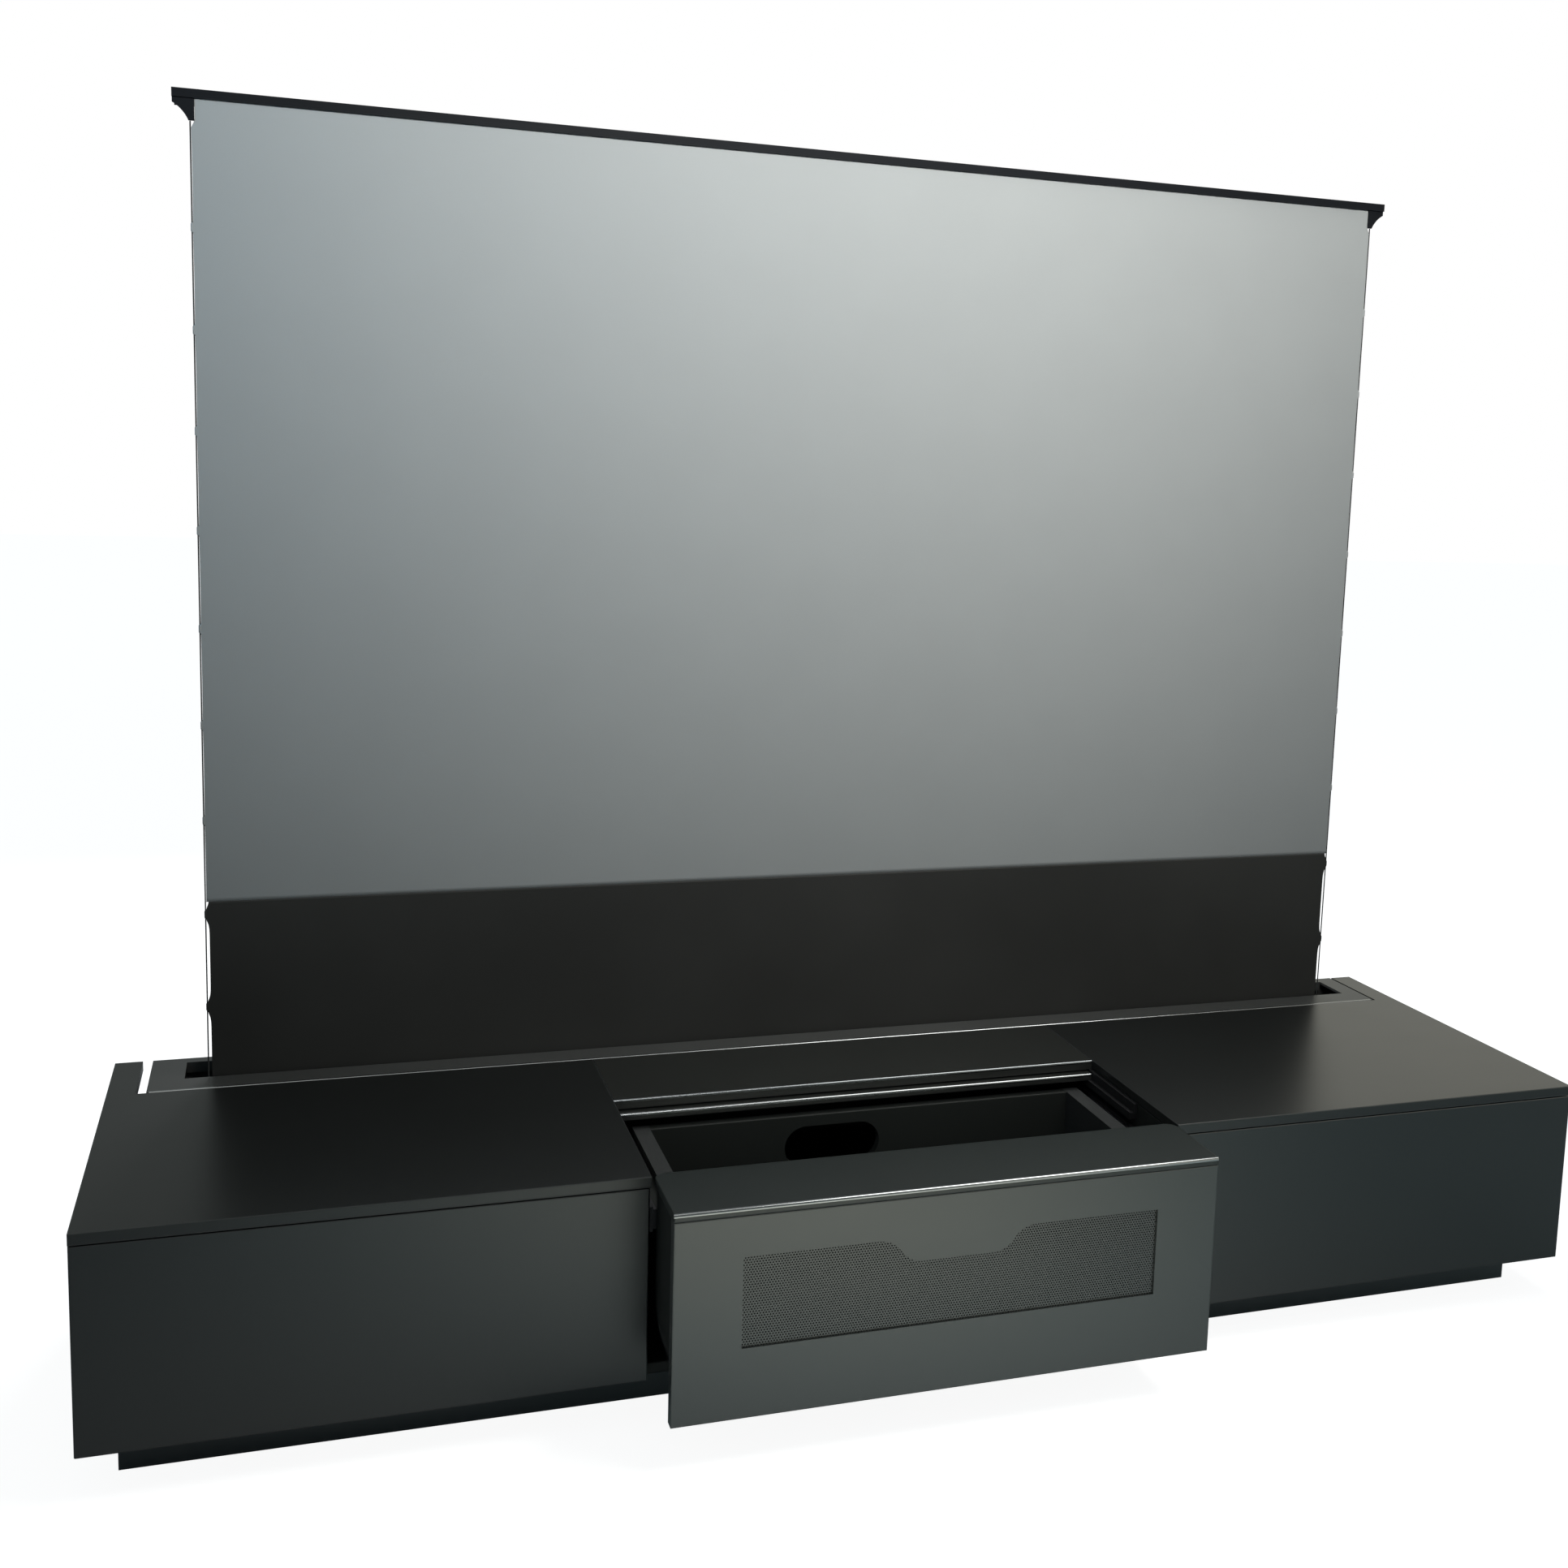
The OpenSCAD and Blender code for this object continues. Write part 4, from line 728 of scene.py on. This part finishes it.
def makeWrap(look):
    # The last turn of the drop on the roller: a thin sleeve, its section two circles joined at the ends.
    # Each ring lies at a share of halfWidth along the roller, those of outerEnds with the outer radius and
    # those of innerEnds with the inner one.
    outer, inner = look["outerEnds"], look["innerEnds"]
    x = np.array(outer + inner)[:, None] * look["halfWidth"] + screenLook["middle"]
    radius = np.repeat([look["radius"], look["inner"]], [len(outer), len(inner)])[:, None]
    turn = np.linspace(0, 2 * math.pi, look["around"], endpoint=False)
    points = gridPoints(x, look["centreY"] + radius * np.cos(turn),
                        screenLook["rollerZ"] + radius * np.sin(turn))
    faces = gridFaces(len(x), look["around"], closedRows=True, closedColumns=True)[:, ::-1]
    makePiece("woundCloth", points, faces, [dropCloth], "roller",
              gridPoints(x, turn * look["radius"]))


makeWrap(wrapLook)
print("wound cloth")


def facing(place, right, up, ahead):
    # The transform of a camera or lamp at place that looks along ahead.
    turn = Matrix(np.stack([right, up, -ahead], -1).tolist()).to_4x4()
    return Matrix.Translation(place) @ turn


viewLook = {"place": (-0.9639, -2.8123, 1.4816), "yaw": 19.147, "pitch": -7.804, "roll": 1.977,
            "focal": 2153.4, "principal": (1099.3, 881.6), "frame": 1932, "sensor": 36}


def makeCamera(look):
    yaw, pitch, roll = (math.radians(look[k]) for k in ("yaw", "pitch", "roll"))
    ahead = np.array([math.sin(yaw) * math.cos(pitch), math.cos(yaw) * math.cos(pitch), math.sin(pitch)])
    level = np.array([math.cos(yaw), -math.sin(yaw), 0.0])
    upright = np.cross(level, ahead)
    right = math.cos(roll) * level + math.sin(roll) * upright
    up = -math.sin(roll) * level + math.cos(roll) * upright
    lens = bpy.data.cameras.new("camera")
    camera = bpy.data.objects.new("camera", lens)
    bpy.context.collection.objects.link(camera)
    camera.matrix_world = facing(look["place"], right, up, ahead)
    lens.sensor_width = look["sensor"]
    lens.lens = look["focal"] / look["frame"] * look["sensor"]
    lens.shift_x = (look["frame"] / 2 - look["principal"][0]) / look["frame"]
    lens.shift_y = (look["principal"][1] - look["frame"] / 2) / look["frame"]
    bpy.context.scene.camera = camera


def startStage(tree, space):
    # Empties the tree. Gives a wire that is 1 for the camera's rays, one that is 1 for the rays that mirrors
    # and glass send on, and the coordinates.
    tree.nodes.clear()
    path = tree.nodes.new("ShaderNodeLightPath")
    seen, glossy, through = (Wire(tree, path.outputs[f"Is {kind} Ray"])
                             for kind in ("Camera", "Glossy", "Transmission"))
    mirrored = glossy.most(through)
    return seen, mirrored, Wire(tree, tree.nodes.new("ShaderNodeTexCoord").outputs[space])


# The pool, its warm and cool tints and the side light are painted light that only mirrors see on the floor.
floorLook = {"size": 60.0, "colour": (0.80, 0.80, 0.80), "glow": 0.92, "poolX": 0.10, "poolY": -1.68,
             "wide": 0.86, "deep": 0.82, "power": 1.34, "warm": (0.96, 1.0, 0.85), "cool": (0.70, 0.98, 1.0),
             "warmSteps": (0.05, 0.65), "side": 0.13, "sideFrom": (0.6, 1.7)}


def makeFloor(look):
    # Pale floor: it takes the object's shadow and is white to the camera. In mirrors it shows a painted pool
    # of light before the cabinet, emitted in place of a lamp, power * e^-(((x - poolX) / wide)^2 +
    # ((y - poolY) / deep)^2), painted cooler where it is weak, and a painted dim light towards the right.
    points = np.array([[-1, -1, 0], [1, -1, 0], [1, 1, 0], [-1, 1, 0]]) * look["size"] / 2
    mesh = bpy.data.meshes.new("floor")
    mesh.from_pydata(points.tolist(), [], [(0, 1, 2, 3)])
    floor = bpy.data.objects.new("floor", mesh)
    bpy.context.collection.objects.link(floor)
    made = bpy.data.materials.new("paleFloor")
    made.use_nodes = True
    tree = made.node_tree
    seen, mirrored, pos = startStage(tree, "Object")
    x, y = pos.axis("X"), pos.axis("Y")
    across, along = (x - look["poolX"]) / look["wide"], (y - look["poolY"]) / look["deep"]
    far = (across * across + along * along) * -1.0
    paintedPool = far.maths("POWER", math.e, far) * look["power"]
    level = paintedPool + x.ramp(*look["sideFrom"]) * look["side"]
    shade = (paintedPool / look["power"]).ramp(*look["warmSteps"]).blendColours(look["cool"], look["warm"])
    plain = seen.node("BsdfDiffuse", {}, {"Color": (*look["colour"], 1)})
    glow = seen.node("Emission", {}, {"Color": (1, 1, 1, 1), "Strength": seen * look["glow"]})
    # Painted reflection: the pool and the side light, emitted for mirror rays only.
    shine = seen.node("Emission", {}, {"Color": shade, "Strength": mirrored * level})
    whole = seen.node("AddShader", {}, {0: seen.node("AddShader", {}, {0: plain, 1: glow}), 1: shine})
    out = tree.nodes.new("ShaderNodeOutputMaterial")
    tree.links.new(whole.socket, out.inputs["Surface"])
    mesh.materials.append(made)


worldLook = {"colour": (0.74, 0.92, 1.0), "strength": 0.105, "left": (0.25, 0.275, 0.265),
             "right": (0.86, 0.86, 0.76), "fade": (0.26, 0.44), "wallTop": (0.46, 0.60), "wallShare": 0.35,
             "ceiling": (0.86, 0.88, 0.84), "overhead": (0.80, 0.93), "overheadShare": 0.5}


def makeWorld(look):
    # Soft light for the object, white where the camera looks past it, and for mirrors a room that is white
    # at the right, dimmer towards the left and above its wall, with a light ceiling.
    world = bpy.data.worlds.new("studio")
    bpy.context.scene.world = world
    world.use_nodes = True
    tree = world.node_tree
    seen, mirrored, way = startStage(tree, "Generated")
    room = way.axis("X").ramp(*look["fade"]).blendColours(look["left"], look["right"])
    rise = way.axis("Z")
    overhead = rise.ramp(*look["overhead"])
    room = overhead.blendColours(room, look["ceiling"])
    level = 1 - rise.ramp(*look["wallTop"]) * (1 - look["wallShare"]) + overhead * look["overheadShare"]
    light = seen.node("Background", {}, {"Color": (*look["colour"], 1), "Strength": look["strength"]})
    shine = seen.node("Background", {}, {"Color": room, "Strength": level})
    white = seen.node("Background", {}, {"Color": (1, 1, 1, 1), "Strength": 1.0})
    first = seen.node("MixShader", {}, {0: mirrored, 1: light, 2: shine})
    whole = seen.node("MixShader", {}, {0: seen, 1: first, 2: white})
    out = tree.nodes.new("ShaderNodeOutputWorld")
    tree.links.new(whole.socket, out.inputs["Surface"])


lampLooks = {
    "screenLamp": {"place": (-0.02, -1.94, 2.50), "aim": (0.30, 0.3355, 2.66), "size": (0.9, 0.4),
                   "power": 41, "colour": (1.0, 1.0, 0.975), "spread": 118},
    "topLamp": {"place": (1.0, -0.55, 2.7), "aim": (-0.05, -0.38, 0.4), "size": (2.1, 1.1),
                "power": 5.2, "colour": (1.0, 1.0, 0.95), "spread": 60},
    "coolLamp": {"place": (-2.7, -1.7, 2.5), "aim": (-1.0, 0.3, 2.15), "size": (1.2, 1.2),
                 "power": 2.2, "colour": (0.16, 0.60, 1.0), "spread": 62},
    "backLamp": {"place": (0.25, 3.4, 1.7), "aim": (0.0, 0.4, 0.7), "size": (1.4, 0.9),
                 "power": 42, "colour": (0.95, 0.98, 1.0), "spread": 180}}


def makeLamp(name, look):
    lamp = bpy.data.lights.new(name, "AREA")
    lamp.shape = "RECTANGLE"
    lamp.size, lamp.size_y = look["size"]
    lamp.energy = look["power"]
    lamp.color = look["colour"]
    lamp.spread = math.radians(look["spread"])
    made = bpy.data.objects.new(name, lamp)
    made.visible_camera = False
    bpy.context.collection.objects.link(made)
    ahead = np.array(look["aim"], float) - look["place"]
    ahead /= np.linalg.norm(ahead)
    right = np.cross(ahead, [0, 0, 1])
    right /= np.linalg.norm(right)
    made.matrix_world = facing(look["place"], right, np.cross(right, ahead), ahead)


makeCamera(viewLook)
makeFloor(floorLook)
makeWorld(worldLook)
for lampName, lampLook in lampLooks.items():
    makeLamp(lampName, lampLook)
bpy.context.scene.view_settings.view_transform = "Standard"
print("camera, floor and light")
